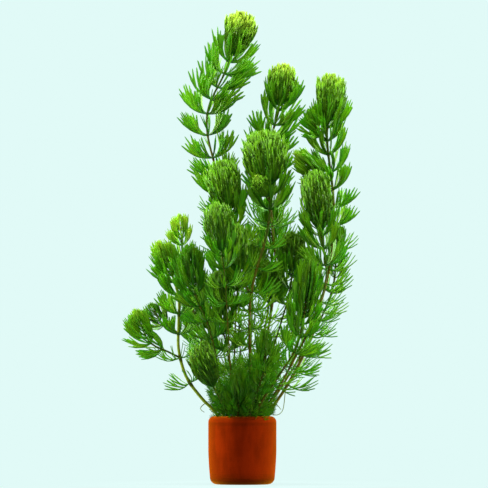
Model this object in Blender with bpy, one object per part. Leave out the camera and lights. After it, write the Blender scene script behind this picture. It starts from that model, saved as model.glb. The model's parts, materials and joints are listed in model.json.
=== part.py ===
"""A potted hornwort: a small clay pot, the plug of planting wool in it, and the leafy stems in the wool.

Every stem is modelled with its whorls of leaves fused to it and ends in a tuft of young leaves, which is a
solid of its own. Side shoots are split from their parent stem at the fork. Metres, +Z up, +Y away from the
viewer, with the origin at the middle of the pot's foot.
"""

import math
from dataclasses import dataclass

import bmesh
import bpy
import numpy as np
from mathutils import Vector

MM = 0.001
AWAY = Vector((0.0, 1.0, 0.0))

# The pot and its wool, in millimetres
POT_RADIUS = 22.5
POT_HEIGHT = 45.0
POT_FOOT_RADIUS = 16.8
POT_FOOT_ROUND = 4.6
POT_TAPER_HEIGHT = 22.0
POT_TAPER_BULGE = 0.15
POT_SHOULDER_ROUND = 4.0
POT_WALL = 4.8
POT_LIP_ROUND = 0.8
POT_FLOOR = 5.0
POT_SEGMENTS = 28
SHARPEST_SMOOTH_EDGE = 40.0
WOOL_DEPTH_BELOW_RIM = 2.5
WOOL_EDGE = 1.0
TOUCHING_GAP = 0.3
HOLE_CLEARANCE = 0.35

# A stem and its whorls, in millimetres and degrees
MAIN_STEM_RADIUS = 1.05
BRANCH_RADIUS = 0.8
STEM_TOP_SHARE = 0.75
STEM_SIDES = 4
STEM_STEP = 10.0
WOOL_RINGS = (0.0, 7.0, 14.0)
BARE_MAIN = 16.5
BARE_BRANCH = 7.0
WHORL_FIRST_GAP = 5.0
WHORL_YOUNG_GAP = 8.5
WHORL_OLD_GAP = 13.5
WHORL_GAP_GROWTH = 1.25
WHORL_OPENED_BY = 38.0
WHORL_HEIGHT = 2.2
WHORL_TWIST = 45.0
SHOOT_TWIST = 25.0

# A leaf: the solid form of one forked leaf, widest where it has forked
LEAF_LENGTH = 20.0
LEAF_YOUNG_SHARE = 0.8
LEAF_WIDTH = 5.0
LEAF_ROOT_RADIUS = 1.0
LEAF_TIP_RADIUS = 0.2
LEAF_FORK_SHARE = 0.6
LEAF_YOUNG_SPREAD = 36.0
LEAF_OLD_SPREAD = 64.0
LEAF_INCURVE = 9.0
LEAF_SIZES = (1.0, 0.85, 0.7, 0.55)
LEAF_CLEARANCE = 0.35
BALLS_TO_FORK = 7
BALLS_TO_TIP = 5

# A tuft: (share of its length, share of its radius) for each tier of points up its axis
TUFT_PROFILE = ((0.0, 0.14), (0.22, 0.66), (0.5, 1.0), (0.78, 0.8))
TUFT_SIDES = 10
TUFT_HOLLOW = 0.2
TUFT_POINT_RISE = 0.08
TUFT_CROWN_RISE = 0.21
TUFT_SIZES = (1.0, 0.92, 0.84, 0.76, 0.68, 0.6, 0.52, 0.44)
TUFT_BALLS_PER_TIER = 5


@dataclass(frozen=True)
class Shoot:
    """One stem, from where it leaves the wool or its parent stem to the top of its tuft.

    The route's points are millimetres: x to the right, y away from the viewer, z up. The heights are those of
    its upper whorls, from the top down; the whorls below them follow the rule.
    """

    name: str
    route: tuple
    tuft_radius: float = 9.5
    tuft_length: float = 26.0
    parent: str = ""
    whorl_heights: tuple = ()


SHOOTS = (
    Shoot(
        "stem_01",
        ((3.5, -4.5, 32), (5, -6, 56), (5, -9, 92), (5, -10, 118), (8, -10, 137), (14, -9, 157),
         (18, -8, 178), (17, -8, 202), (14, -6, 233)),
        tuft_radius=15.0,
        tuft_length=36.0,
        whorl_heights=(189.5, 181, 172, 157, 143, 127.5, 115, 103, 92, 80, 68),
    ),
    Shoot(
        "stem_02",
        ((6.5, 2.5, 32), (9, 9, 56), (16, 20, 95), (22, 27, 141), (18, 27, 194), (19, 22, 227),
         (24, 17, 247), (28, 14, 278)),
        tuft_radius=10.0,
        tuft_length=28.0,
        whorl_heights=(246.5, 237, 229),
    ),
    Shoot(
        "stem_03",
        ((11.5, 0, 32), (14.8, -0.5, 43), (20, -1, 51), (30, 0, 66), (42, 2, 89), (50, 4, 114),
         (57, 5, 140), (60, 5, 165), (60, 4, 191), (56, 3, 226), (57, 2, 244), (59, 2, 271)),
        tuft_radius=10.5,
        tuft_length=32.0,
        whorl_heights=(235, 226, 217, 205.5, 194, 182.5, 171, 156, 136, 112, 88.5, 66),
    ),
    Shoot(
        "stem_04",
        ((10.5, 5.5, 32), (12.8, 7.4, 45), (20, 13, 55), (31, 20, 72), (47, 24, 99), (59, 24, 126),
         (62, 22, 147), (63, 20, 173)),
        whorl_heights=(143, 136, 126),
    ),
    Shoot(
        "stem_05",
        ((10.5, -6, 32), (12.8, -8, 45), (19, -13, 56), (30, -20, 75), (46, -24, 107),
         (55, -22, 135), (53, -22, 158), (50, -24, 181), (47, -24, 207)),
        tuft_radius=11.0,
        tuft_length=40.0,
    ),
    Shoot(
        "stem_06",
        ((-5.5, 3.5, 32), (-5, 6, 56), (-5, 7, 95), (-3, 7, 135), (-3, 3, 155), (-7, -2, 172),
         (-11, -5, 191), (-14, -6, 214)),
        tuft_radius=12.0,
        tuft_length=34.0,
    ),
    Shoot(
        "stem_07",
        ((-3.5, -6, 32), (-6, -12, 56), (-9, -22, 95), (-11, -30, 132), (-14, -34, 158),
         (-17, -35, 186)),
        tuft_radius=10.5,
        tuft_length=32.0,
    ),
    Shoot(
        "stem_08",
        ((-0.5, -1.5, 32), (0, -5, 56), (-2, -6, 102), (-3, -14, 135), (-4, -17, 172)),
        tuft_length=32.0,
    ),
    Shoot(
        "stem_09",
        ((-11.5, 5.5, 32), (-14, 12, 52), (-21, 18, 75), (-31, 20, 108), (-37, 18, 138),
         (-40, 15, 159), (-42, 12, 179)),
        tuft_radius=7.0,
        tuft_length=16.0,
    ),
    Shoot(
        "stem_10",
        ((-12, 0.5, 32), (-14.8, 0, 43), (-20, 0, 50), (-27, 0, 57), (-37, 0, 71), (-42, 0, 89),
         (-42, 0, 107), (-42, -1, 123), (-47, -3, 140), (-56, -5, 161)),
        whorl_heights=(133, 124, 112.5, 99, 83.5, 67),
    ),
    Shoot(
        "stem_11",
        ((-11.5, -4.5, 32), (-13, -9, 50), (-17, -17, 82), (-23, -20, 107), (-30, -22, 122),
         (-33, -23, 138), (-34, -24, 159)),
        tuft_length=30.0,
    ),
    Shoot(
        "stem_12",
        ((-7.5, -9.5, 32), (-9, -12, 45), (-13, -18, 54), (-20, -26, 67), (-24, -30, 79),
         (-25, -33, 95)),
        tuft_radius=10.0,
        tuft_length=32.0,
    ),
    Shoot(
        "stem_13",
        ((6.8, -1.8, 32), (10, 3, 56), (22, 10, 95), (30, 8, 122), (33, 6, 141), (33, 5, 167)),
    ),
    Shoot(
        "stem_14",
        ((6.5, -10.5, 32), (8.5, -12.5, 45), (14, -18, 57), (26, -26, 75), (36, -30, 92),
         (41, -32, 115), (45, -32, 151)),
        tuft_radius=11.0,
        tuft_length=42.0,
    ),
    Shoot(
        "stem_15",
        ((1.8, 3, 32), (5, 9, 56), (13, 12, 95), (18, 11, 122), (18, 9, 147)),
        tuft_length=24.0,
    ),
    Shoot(
        "stem_16",
        ((-1.5, 7.5, 32), (-1, 10, 45), (2.5, 16.5, 57), (6, 25, 102), (7, 26, 135), (10, 27, 162)),
        tuft_length=22.0,
    ),
    Shoot(
        "stem_17",
        ((1.5, -12, 32), (3, -14.5, 45), (7, -19, 55), (12, -24, 68), (15, -28, 82),
         (14, -31, 104)),
    ),
    Shoot(
        "stem_18",
        ((-3.3, -12, 32), (-3, -14.6, 45), (-2.5, -21, 54), (-2.5, -28, 64), (-1, -33, 79)),
        tuft_length=20.0,
    ),
    Shoot(
        "stem_19",
        ((-6.5, -1.5, 32), (-6, -5, 56), (-10, -7, 89), (-14, -8, 108), (-16, -10, 141)),
        tuft_length=30.0,
    ),
    Shoot(
        "stem_20",
        ((-3, 12, 32), (-3.8, 14.6, 45), (-6.5, 21, 58), (-11, 34, 102), (-12, 38, 141),
         (-9, 38, 178)),
        tuft_length=30.0,
    ),
    Shoot(
        "stem_21",
        ((2.5, 12, 32), (4, 14.5, 45), (8, 23, 60), (16, 38, 108), (20, 42, 155), (17, 42, 191)),
        tuft_length=30.0,
    ),
    Shoot(
        "stem_22",
        ((7.2, 9.8, 32), (9.2, 12, 45), (16, 22, 59), (30, 36, 92), (39, 40, 122), (42, 40, 149)),
        tuft_length=30.0,
    ),
    Shoot(
        "stem_23",
        ((-7.5, 9.5, 32), (-9, 12, 45), (-13.5, 20.5, 58), (-24, 33, 85), (-30, 36, 108),
         (-33, 37, 132)),
        tuft_length=28.0,
    ),
    Shoot(
        "branch_01",
        ((5, -10, 126), (-3, -4, 141), (-11, 7, 165), (-16, 13, 201), (-23, 13, 231),
         (-22, 12, 250), (-12, 10, 271), (-4, 7, 292), (0, 4, 312)),
        tuft_radius=10.5,
        tuft_length=30.0,
        parent="stem_01",
        whorl_heights=(278.5, 271, 262, 254, 244.5, 230.5, 215.5),
    ),
    Shoot(
        "branch_02",
        ((18, -8, 186), (15, -14, 191), (12, -20, 197), (9, -23, 204)),
        tuft_radius=6.0,
        tuft_length=13.0,
        parent="stem_01",
    ),
    Shoot(
        "branch_03",
        ((56, 3, 227), (51, -3, 232), (47, -7, 239), (43, -10, 248)),
        tuft_radius=7.0,
        tuft_length=17.0,
        parent="stem_03",
    ),
    Shoot(
        "branch_04",
        ((60, 4, 196), (54, -4, 200), (45, -12, 209), (34, -19, 220)),
        tuft_radius=8.0,
        tuft_length=24.0,
        parent="stem_03",
    ),
    Shoot(
        "branch_05",
        ((-42, 0, 84), (-50, -4, 88), (-60, -8, 93), (-66, -10, 103), (-71, -12, 116)),
        tuft_radius=9.5,
        tuft_length=22.0,
        parent="stem_10",
    ),
    Shoot(
        "branch_06",
        ((-42, 0, 100), (-50, 5, 104), (-56, 9, 110), (-61, 12, 120)),
        tuft_radius=7.0,
        tuft_length=15.0,
        parent="stem_10",
    ),
)


class Course:
    """A smooth curve through a route's points, measured along its length in millimetres."""

    SAMPLES_PER_SPAN = 12
    TANGENT_REACH = 0.5

    def __init__(self, route):
        knots = [Vector(point) for point in route]
        knots = [2 * knots[0] - knots[1], *knots, 2 * knots[-1] - knots[-2]]
        self.points = [
            self.between(*four, sample / self.SAMPLES_PER_SPAN)
            for four in zip(knots, knots[1:], knots[2:], knots[3:])
            for sample in range(self.SAMPLES_PER_SPAN)
        ]
        self.points.append(knots[-2])
        steps = [(b - a).length for a, b in zip(self.points, self.points[1:])]
        self.marks = [0.0, *np.cumsum(steps).tolist()]
        self.length = self.marks[-1]

    @staticmethod
    def between(before, start, end, after, t):
        """A point of the Catmull-Rom span from start to end."""
        linear = (end - before) * t
        square = (2 * before - 5 * start + 4 * end - after) * t**2
        cube = (3 * start - before - 3 * end + after) * t**3
        return 0.5 * (2 * start + linear + square + cube)

    def at(self, distance):
        """The point that far along the course; past either end it runs straight on."""
        index = min(max(int(np.searchsorted(self.marks, distance)), 1), len(self.points) - 1)
        span = self.marks[index] - self.marks[index - 1]
        share = (distance - self.marks[index - 1]) / span
        return self.points[index - 1].lerp(self.points[index], share)

    def distance_at(self, height):
        """How far along a course that only rises reaches a height."""
        return float(np.interp(height, [point.z for point in self.points], self.marks))

    def direction(self, distance):
        """The unit tangent that far along."""
        return (self.at(distance + self.TANGENT_REACH) - self.at(distance - self.TANGENT_REACH)).normalized()


class Space:
    """The room that the plant's pieces already take, held as balls with an owner each."""

    def __init__(self):
        self.balls = np.empty((0, 4))
        self.owners = np.empty(0, dtype=int)
        self.numbers = {}

    def number(self, owner):
        return self.numbers.setdefault(owner, len(self.numbers))

    def take(self, balls, owner):
        """Adds rows of x, y, z and radius under an owner's name."""
        self.balls = np.vstack([self.balls, balls])
        self.owners = np.append(self.owners, np.full(len(balls), self.number(owner)))

    def is_clear(self, balls, clearance, ignoring):
        """Whether balls stay clear of the pot and of all that is taken, some owners aside."""
        x, y, z, radius = balls.T
        over_pot = np.hypot(x, y) - radius < POT_RADIUS + TOUCHING_GAP
        if np.any(over_pot & (z - radius < POT_HEIGHT + TOUCHING_GAP)):
            return False
        others = self.balls[~np.isin(self.owners, [self.number(owner) for owner in ignoring])]
        apart = np.linalg.norm(balls[:, None, :3] - others[None, :, :3], axis=2)
        gaps = apart - radius[:, None] - others[None, :, 3]
        return bool(gaps.min(initial=math.inf) >= clearance)


def finish(name, colour, roughness):
    """A plain Principled material."""
    material = bpy.data.materials.new(name)
    material.use_nodes = True
    shader = material.node_tree.nodes["Principled BSDF"]
    shader.inputs["Base Color"].default_value = (*colour, 1.0)
    shader.inputs["Roughness"].default_value = roughness
    shader.inputs["Metallic"].default_value = 0.0
    return material


def place_of(obj):
    """An object's place in the world. Nothing in the chain above it is turned or scaled."""
    return obj.location + (place_of(obj.parent) if obj.parent else Vector())


def add_object(name, bm, material, parent=None, origin=(0.0, 0.0, 0.0)):
    """Makes an object of a closed mesh that is laid out in millimetres round the pot's foot."""
    bmesh.ops.recalc_face_normals(bm, faces=bm.faces)
    bmesh.ops.translate(bm, vec=-Vector(origin), verts=bm.verts)
    bmesh.ops.scale(bm, vec=(MM, MM, MM), verts=bm.verts)
    mesh = bpy.data.meshes.new(name)
    bm.to_mesh(mesh)
    bm.free()
    mesh.materials.append(material)
    obj = bpy.data.objects.new(name, mesh)
    bpy.context.scene.collection.objects.link(obj)
    obj.parent = parent
    obj.location = Vector(origin) * MM - (place_of(parent) if parent else Vector())
    return obj


def smooth(obj):
    """Shades a turned piece smooth but for its sharp edges."""
    obj.data.shade_smooth()
    obj.data.set_sharp_from_angle(angle=math.radians(SHARPEST_SMOOTH_EDGE))


def arc(centre_r, centre_z, radius, start, end, steps):
    """Points of an arc in the turning plane, from one angle to another in degrees."""
    angles = [math.radians(start + (end - start) * step / steps) for step in range(steps + 1)]
    return [(centre_r + radius * math.cos(a), centre_z + radius * math.sin(a)) for a in angles]


def turned(profile, segments):
    """A closed solid turned about Z from a profile whose ends are on the axis."""
    bm = bmesh.new()
    line = [bm.verts.new((r, 0, z)) for r, z in profile]
    edges = [bm.edges.new(pair) for pair in zip(line, line[1:])]
    bmesh.ops.spin(bm, geom=line + edges, cent=(0, 0, 0), axis=(0, 0, 1), angle=math.tau, steps=segments)
    bmesh.ops.remove_doubles(bm, verts=bm.verts, dist=0.001)
    return bm


def shares_to(count):
    """Equal steps of a length, up to and with its end."""
    return [(step + 1) / count for step in range(count)]


def ring_points(centre, axis, radius, sides, turn):
    """The corners of a polygon round a centre, square to an axis, with its turn in degrees."""
    across = axis.cross(AWAY).normalized()
    level = across.cross(axis).normalized()
    angles = [math.radians(turn) + math.tau * corner / sides for corner in range(sides)]
    return [centre + radius * (math.cos(a) * level + math.sin(a) * across) for a in angles]


def ring(bm, *shape):
    """A new ring of vertices; the shape is as for ring_points."""
    return [bm.verts.new(point) for point in ring_points(*shape)]


def bridge(bm, lower, upper):
    """Joins two rings of equal count with quads."""
    for corner, start in enumerate(lower):
        after = (corner + 1) % len(lower)
        bm.faces.new((start, lower[after], upper[after], upper[corner]))


def make_pot(material, parent):
    """The clay pot: a drum with a soft shoulder, a taper and a rounded foot, hollow down to its floor."""
    inner = POT_RADIUS - POT_WALL
    foot_side = POT_FOOT_RADIUS + POT_FOOT_ROUND
    taper_middle = (foot_side + POT_RADIUS) / 2 + POT_TAPER_BULGE
    profile = [
        (0, 0),
        *arc(POT_FOOT_RADIUS, POT_FOOT_ROUND, POT_FOOT_ROUND, -90, 0, 3),
        (taper_middle, (POT_FOOT_ROUND + POT_TAPER_HEIGHT) / 2),
        (POT_RADIUS, POT_TAPER_HEIGHT),
        *arc(POT_RADIUS - POT_SHOULDER_ROUND, POT_HEIGHT - POT_SHOULDER_ROUND, POT_SHOULDER_ROUND, 0, 90, 4),
        *arc(inner + POT_LIP_ROUND, POT_HEIGHT - POT_LIP_ROUND, POT_LIP_ROUND, 90, 180, 2)[1:],
        (inner, POT_FLOOR),
        (0, POT_FLOOR),
    ]
    pot = add_object("pot", turned(profile, POT_SEGMENTS), material, parent)
    smooth(pot)
    return pot


def make_wool(material, parent, courses):
    """The plug of planting wool, with a hole for every stem that stands in it."""
    radius = POT_RADIUS - POT_WALL - TOUCHING_GAP
    foot = POT_FLOOR + TOUCHING_GAP
    top = POT_HEIGHT - WOOL_DEPTH_BELOW_RIM
    profile = [(0, foot), (radius, foot), (radius, top - WOOL_EDGE), (radius - WOOL_EDGE, top), (0, top)]
    wool = add_object("planting_wool", turned(profile, POT_SEGMENTS), material, parent, (0, 0, foot))
    smooth(wool)
    bm = bmesh.new()
    for course in courses:
        rings = []
        for distance in WOOL_RINGS:
            axis = course.direction(distance)
            centre = course.at(distance) - axis * (0 if distance else HOLE_CLEARANCE)
            rings.append(ring(bm, centre, axis, MAIN_STEM_RADIUS + HOLE_CLEARANCE, STEM_SIDES, 0))
        bm.faces.new(rings[0])
        for lower, upper in zip(rings, rings[1:]):
            bridge(bm, lower, upper)
        bm.faces.new(rings[-1])
    cutter = add_object("stem_holes", bm, material, parent)
    cutter.hide_render = True
    cutter.display_type = "WIRE"
    holes = wool.modifiers.new("stem holes", "BOOLEAN")
    holes.operation = "DIFFERENCE"
    holes.object = cutter
    return wool


class LeafyStem:
    """One shoot worked out: its course, its thickness, its whorls and its tuft."""

    def __init__(self, shoot, index):
        self.name = shoot.name
        self.parent = shoot.parent
        self.tuft_radius = shoot.tuft_radius
        self.tuft_length = shoot.tuft_length
        self.whorl_heights = shoot.whorl_heights
        self.course = Course(shoot.route)
        self.first_twist = SHOOT_TWIST * index
        self.radius = BRANCH_RADIUS if shoot.parent else MAIN_STEM_RADIUS
        self.start = 0.0
        self.first_face = None
        self.end = self.course.length - shoot.tuft_length
        self.leaves = {}

    def thickness(self, distance):
        """The stem's radius there: it thins towards its tuft."""
        share = min(max(distance / self.end, 0), 1)
        return self.radius * (1 - (1 - STEM_TOP_SHARE) * share)

    def whorls(self):
        """Distance and twist of each whorl, from the lowest up. They are wider apart on older stem."""
        lowest = BARE_BRANCH if self.parent else BARE_MAIN
        distances, gap = [self.course.distance_at(height) for height in self.whorl_heights], WHORL_YOUNG_GAP
        distance = self.end - WHORL_FIRST_GAP
        if distances:
            gap = WHORL_OLD_GAP
            distance = distances[-1] - gap
        while distance > lowest:
            distances.append(distance)
            distance -= gap
            gap = min(gap * WHORL_GAP_GROWTH, WHORL_OLD_GAP)
        return [(d, self.first_twist + WHORL_TWIST * order) for order, d in enumerate(distances[::-1])]

    def stem_balls(self):
        distances = np.arange(0, self.end, self.radius).tolist()
        return np.array([(*self.course.at(d), self.thickness(d)) for d in distances])

    def tuft_tiers(self):
        """Centre, axis and radius of each tier of the tuft."""
        begin = self.end + TOUCHING_GAP
        length = self.course.length - begin
        for along, wide in TUFT_PROFILE:
            distance = begin + along * length
            yield self.course.at(distance), self.course.direction(distance), wide * self.tuft_radius

    def tuft_balls(self):
        tiers = list(self.tuft_tiers())
        balls = []
        for (a, _, radius_a), (b, _, radius_b) in zip(tiers, tiers[1:]):
            for share in shares_to(TUFT_BALLS_PER_TIER):
                balls.append((*a.lerp(b, share), radius_a + (radius_b - radius_a) * share))
        top, axis, radius = tiers[-1]
        rise = axis * TUFT_POINT_RISE * self.tuft_length
        return np.array([*balls, (*(top + rise), radius)])

    def leaf_points(self, distance, twist, corner, size):
        """Root, fork and tip of a leaf, and the direction across it."""
        age = min((self.end - distance) / WHORL_OPENED_BY, 1.0)
        axis = self.course.direction(distance)
        out = ring_points(Vector(), axis, 1.0, STEM_SIDES, twist + 180.0 / STEM_SIDES)[corner]
        spread = LEAF_YOUNG_SPREAD + (LEAF_OLD_SPREAD - LEAF_YOUNG_SPREAD) * age
        length = LEAF_LENGTH * (LEAF_YOUNG_SHARE + (1 - LEAF_YOUNG_SHARE) * age) * size
        low, high = math.radians(spread + LEAF_INCURVE), math.radians(spread - LEAF_INCURVE / 2)
        root = self.course.at(distance) + out * self.thickness(distance)
        fork = root + LEAF_FORK_SHARE * length * (out * math.sin(low) + axis * math.cos(low))
        tip = root + length * (out * math.sin(high) + axis * math.cos(high))
        return root, fork, tip, axis.cross(out).normalized()

    def leaf_balls(self, points, size):
        """The balls that hold a leaf: they widen to its fork and narrow to its tip."""
        root, fork, tip, _ = points
        half = LEAF_WIDTH / 2 * size
        balls = []
        for share in shares_to(BALLS_TO_FORK):
            radius = LEAF_ROOT_RADIUS + (half - LEAF_ROOT_RADIUS) * share
            balls.append((*root.lerp(fork, share), radius))
        for share in shares_to(BALLS_TO_TIP):
            balls.append((*fork.lerp(tip, share), half * (1 - share) + LEAF_TIP_RADIUS))
        return np.array(balls)

    def fit_tuft(self, space):
        """Gives the tuft the largest size that has room."""
        widest = self.tuft_radius
        for size in TUFT_SIZES:
            self.tuft_radius = widest * size
            if space.is_clear(self.tuft_balls(), TOUCHING_GAP, (self.name,)):
                break
        space.take(self.tuft_balls(), f"{self.name}_tuft")

    def grow_leaves(self, space):
        """Gives each place in each whorl the longest leaf that has room there."""
        for order, (distance, twist) in enumerate(self.whorls()):
            whorl = f"{self.name} whorl {order}"
            for corner in range(STEM_SIDES):
                for size in LEAF_SIZES:
                    points = self.leaf_points(distance, twist, corner, size)
                    balls = self.leaf_balls(points, size)
                    if space.is_clear(balls, LEAF_CLEARANCE, (self.name, self.parent, whorl)):
                        space.take(balls, whorl)
                        self.leaves[order, corner] = points
                        break

    def settle_on(self, parent):
        """Starts a side shoot at its parent's skin, with its end face square to the way out."""
        foot = self.course.at(0.0)
        nearest = min(range(int(parent.end)), key=lambda d: (parent.course.at(d) - foot).length)
        axis = parent.course.direction(nearest)
        leaving = self.course.at(BARE_BRANCH) - foot
        self.first_face = (leaving - axis * leaving.dot(axis)).normalized()
        reach = parent.thickness(nearest) + TOUCHING_GAP
        while (self.course.at(self.start) - parent.course.at(nearest)).dot(self.first_face) < reach:
            self.start += 0.05

    def ring(self, bm, distance, twist):
        is_fork = self.parent and distance == self.start
        axis = self.first_face if is_fork else self.course.direction(distance)
        return ring(bm, self.course.at(distance), axis, self.thickness(distance), STEM_SIDES, twist)

    def add_leaf(self, bm, lower, upper, points):
        """Grows a leaf out of one face of the stem: two corners where it forks, and one at the tip."""
        root, fork, tip, across = points
        half = across * LEAF_WIDTH / 2 * (tip - root).length / LEAF_LENGTH
        left, right, point = bm.verts.new(fork - half), bm.verts.new(fork + half), bm.verts.new(tip)
        bm.faces.new((*lower, right, left))
        bm.faces.new((left, right, point))
        bm.faces.new((lower[1], upper[1], right))
        bm.faces.new((upper[1], point, right))
        bm.faces.new((upper[0], lower[0], left))
        bm.faces.new((point, upper[0], left))
        bm.faces.new((upper[1], upper[0], point))

    def add_whorl(self, bm, order, lower, upper):
        """Joins the two rings of a whorl with leaves, or with plain faces where no leaf has room."""
        for corner in range(STEM_SIDES):
            after = (corner + 1) % STEM_SIDES
            points = self.leaves.get((order, corner))
            if points:
                self.add_leaf(bm, (lower[corner], lower[after]), (upper[corner], upper[after]), points)
            else:
                bm.faces.new((lower[corner], lower[after], upper[after], upper[corner]))

    def make_stem(self, material, parent):
        """The stem with its leaves, as one mesh grown ring by ring from the bottom up."""
        bm = bmesh.new()
        whorls = self.whorls()
        twist = self.first_twist if self.parent else 0.0
        below = self.ring(bm, self.start, twist)
        bm.faces.new(below)
        reached = self.start
        for distance in () if self.parent else WOOL_RINGS[1:]:
            above = self.ring(bm, distance, twist)
            bridge(bm, below, above)
            below, reached = above, distance
        for order, (distance, twist) in enumerate(whorls):
            lower_edge, upper_edge = distance - WHORL_HEIGHT / 2, distance + WHORL_HEIGHT / 2
            spans = max(round((lower_edge - reached) / STEM_STEP), 1)
            for share in shares_to(spans):
                lower = self.ring(bm, reached + (lower_edge - reached) * share, twist)
                bridge(bm, below, lower)
                below = lower
            upper = self.ring(bm, upper_edge, twist)
            self.add_whorl(bm, order, below, upper)
            below, reached = upper, upper_edge
        top = self.ring(bm, self.end, twist)
        bridge(bm, below, top)
        bm.faces.new(top)
        return add_object(self.name, bm, material, parent, self.course.at(self.start))

    def make_tuft(self, material, parent):
        """The tuft at the top: tiers of points with hollows between, each over the last tier's hollows."""
        bm = bmesh.new()
        rings = []
        for tier, (centre, axis, radius) in enumerate(self.tuft_tiers()):
            points = ring_points(centre, axis, radius, TUFT_SIDES, self.first_twist)
            for corner in range(TUFT_SIDES) if tier else ():
                if (corner + tier) % 2:
                    points[corner] = centre.lerp(points[corner], 1 - TUFT_HOLLOW)
                else:
                    points[corner] += axis * TUFT_POINT_RISE * self.tuft_length
            rings.append([bm.verts.new(point) for point in points])
        bm.faces.new(rings[0])
        for lower, upper in zip(rings, rings[1:]):
            bridge(bm, lower, upper)
        crown = bm.verts.new(centre + axis * TUFT_CROWN_RISE * self.tuft_length)
        for corner, start in enumerate(rings[-1]):
            bm.faces.new((start, rings[-1][(corner + 1) % TUFT_SIDES], crown))
        return add_object(f"{self.name}_tuft", bm, material, parent, self.course.at(self.end))


def plan_plant():
    """Works out every shoot: the stems first, then the tufts, then the leaves in what room is left."""
    stems = {shoot.name: LeafyStem(shoot, index) for index, shoot in enumerate(SHOOTS)}
    space = Space()
    for stem in stems.values():
        space.take(stem.stem_balls(), stem.name)
    for stem in stems.values():
        stem.fit_tuft(space)
    for stem in stems.values():
        stem.grow_leaves(space)
        if stem.parent:
            stem.settle_on(stems[stem.parent])
    return stems


def main():
    for obj in list(bpy.data.objects):
        bpy.data.objects.remove(obj)
    clay = finish("fired clay", (0.32, 0.065, 0.008), 0.75)
    fibre = finish("planting wool", (0.06, 0.055, 0.03), 0.95)
    grown = finish("grown leaves", (0.045, 0.2, 0.012), 0.5)
    young = finish("young leaves", (0.22, 0.44, 0.02), 0.5)

    plant = bpy.data.objects.new("potted_hornwort", None)
    bpy.context.scene.collection.objects.link(plant)
    stems = plan_plant()
    make_pot(clay, plant)
    make_wool(fibre, plant, [stem.course for stem in stems.values() if not stem.parent])
    made = {}
    for name, stem in stems.items():
        made[name] = stem.make_stem(grown, made.get(stem.parent, plant))
        stem.make_tuft(young, made[name])


main()
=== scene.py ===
"""The looks of a potted hornwort: forked leaves in whorls, tufts of young leaves, and a fired clay pot.

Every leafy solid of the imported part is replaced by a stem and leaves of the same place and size, and every
tuft solid by a brush of young leaves. Lengths in the tables are millimetres, and the scene is in metres with
+Z up and the viewer at -Y.
"""

import json
import logging
import math
from collections.abc import Iterable
from dataclasses import dataclass, field
from enum import Enum
from typing import Any

import bmesh
import bpy
import numpy as np
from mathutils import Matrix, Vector

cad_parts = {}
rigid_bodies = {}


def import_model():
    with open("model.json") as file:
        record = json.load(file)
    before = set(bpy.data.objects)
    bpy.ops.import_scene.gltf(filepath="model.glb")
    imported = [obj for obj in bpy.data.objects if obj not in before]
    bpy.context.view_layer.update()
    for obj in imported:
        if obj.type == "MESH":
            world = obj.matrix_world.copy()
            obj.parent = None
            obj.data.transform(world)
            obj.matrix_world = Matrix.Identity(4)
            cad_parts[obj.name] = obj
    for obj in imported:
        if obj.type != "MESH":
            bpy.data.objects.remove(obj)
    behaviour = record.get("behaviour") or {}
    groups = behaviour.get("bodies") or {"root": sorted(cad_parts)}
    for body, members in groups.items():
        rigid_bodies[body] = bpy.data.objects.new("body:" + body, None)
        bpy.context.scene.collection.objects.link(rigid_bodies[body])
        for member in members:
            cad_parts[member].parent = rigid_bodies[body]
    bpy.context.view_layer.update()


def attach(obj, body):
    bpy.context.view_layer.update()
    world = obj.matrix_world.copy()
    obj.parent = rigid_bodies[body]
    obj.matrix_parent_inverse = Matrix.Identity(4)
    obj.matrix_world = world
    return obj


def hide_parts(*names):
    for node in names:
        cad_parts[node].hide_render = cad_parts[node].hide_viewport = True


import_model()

LOG = logging.getLogger("hornwort")
MM = 0.001
BODY = "root"
AWAY = Vector((0.0, 1.0, 0.0))
SHARP_ANGLE = math.radians(50.0)
Point = tuple[float, float, float]
Colour = tuple[float, float, float]
Span = tuple[float, float]
Grain = tuple[float, float]
Profile = tuple[tuple[float, float], ...]


class Slot(Enum):
    """The record's material slots."""

    CLAY = "fired clay"
    WOOL = "planting wool"
    GROWN = "grown leaves"
    YOUNG = "young leaves"


@dataclass(frozen=True)
class Shoot:
    """One shoot, from where it leaves the wool or its parent stem to the top of its tuft.

    The route's points are x to the right, y away from the viewer and z up. Lime is how yellow its youngest
    leaves are. Its leaves stay drawn up for a length below the tuft, and broad for another. The old ones
    further down are thin, and from bare_below down to the thicket over the pot there are none. A low bushy
    shoot has its leaves closer together, and all of them drawn up. A loose one's tuft has begun to open.
    One number sets how much painted shade its leaves get, for the shade that other shoots cast on them. The
    heights are those of its upper whorls, from the top down.
    """

    name: str
    route: tuple[Point, ...]
    tuft_radius: float = 9.5
    tuft_length: float = 26.0
    parent: str = ""
    lime: float = 0.4
    leaf_length: float = 21.0
    stem_radius: float = 0.7
    stem_green: float = 0.0
    drawn_up_for: float = 18.0
    broad_for: float = 24.0
    bare_below: float = 68.0
    bushy: bool = False
    loose: bool = False
    darkness: float = 0.0
    whorl_heights: tuple[float, ...] = ()


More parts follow.
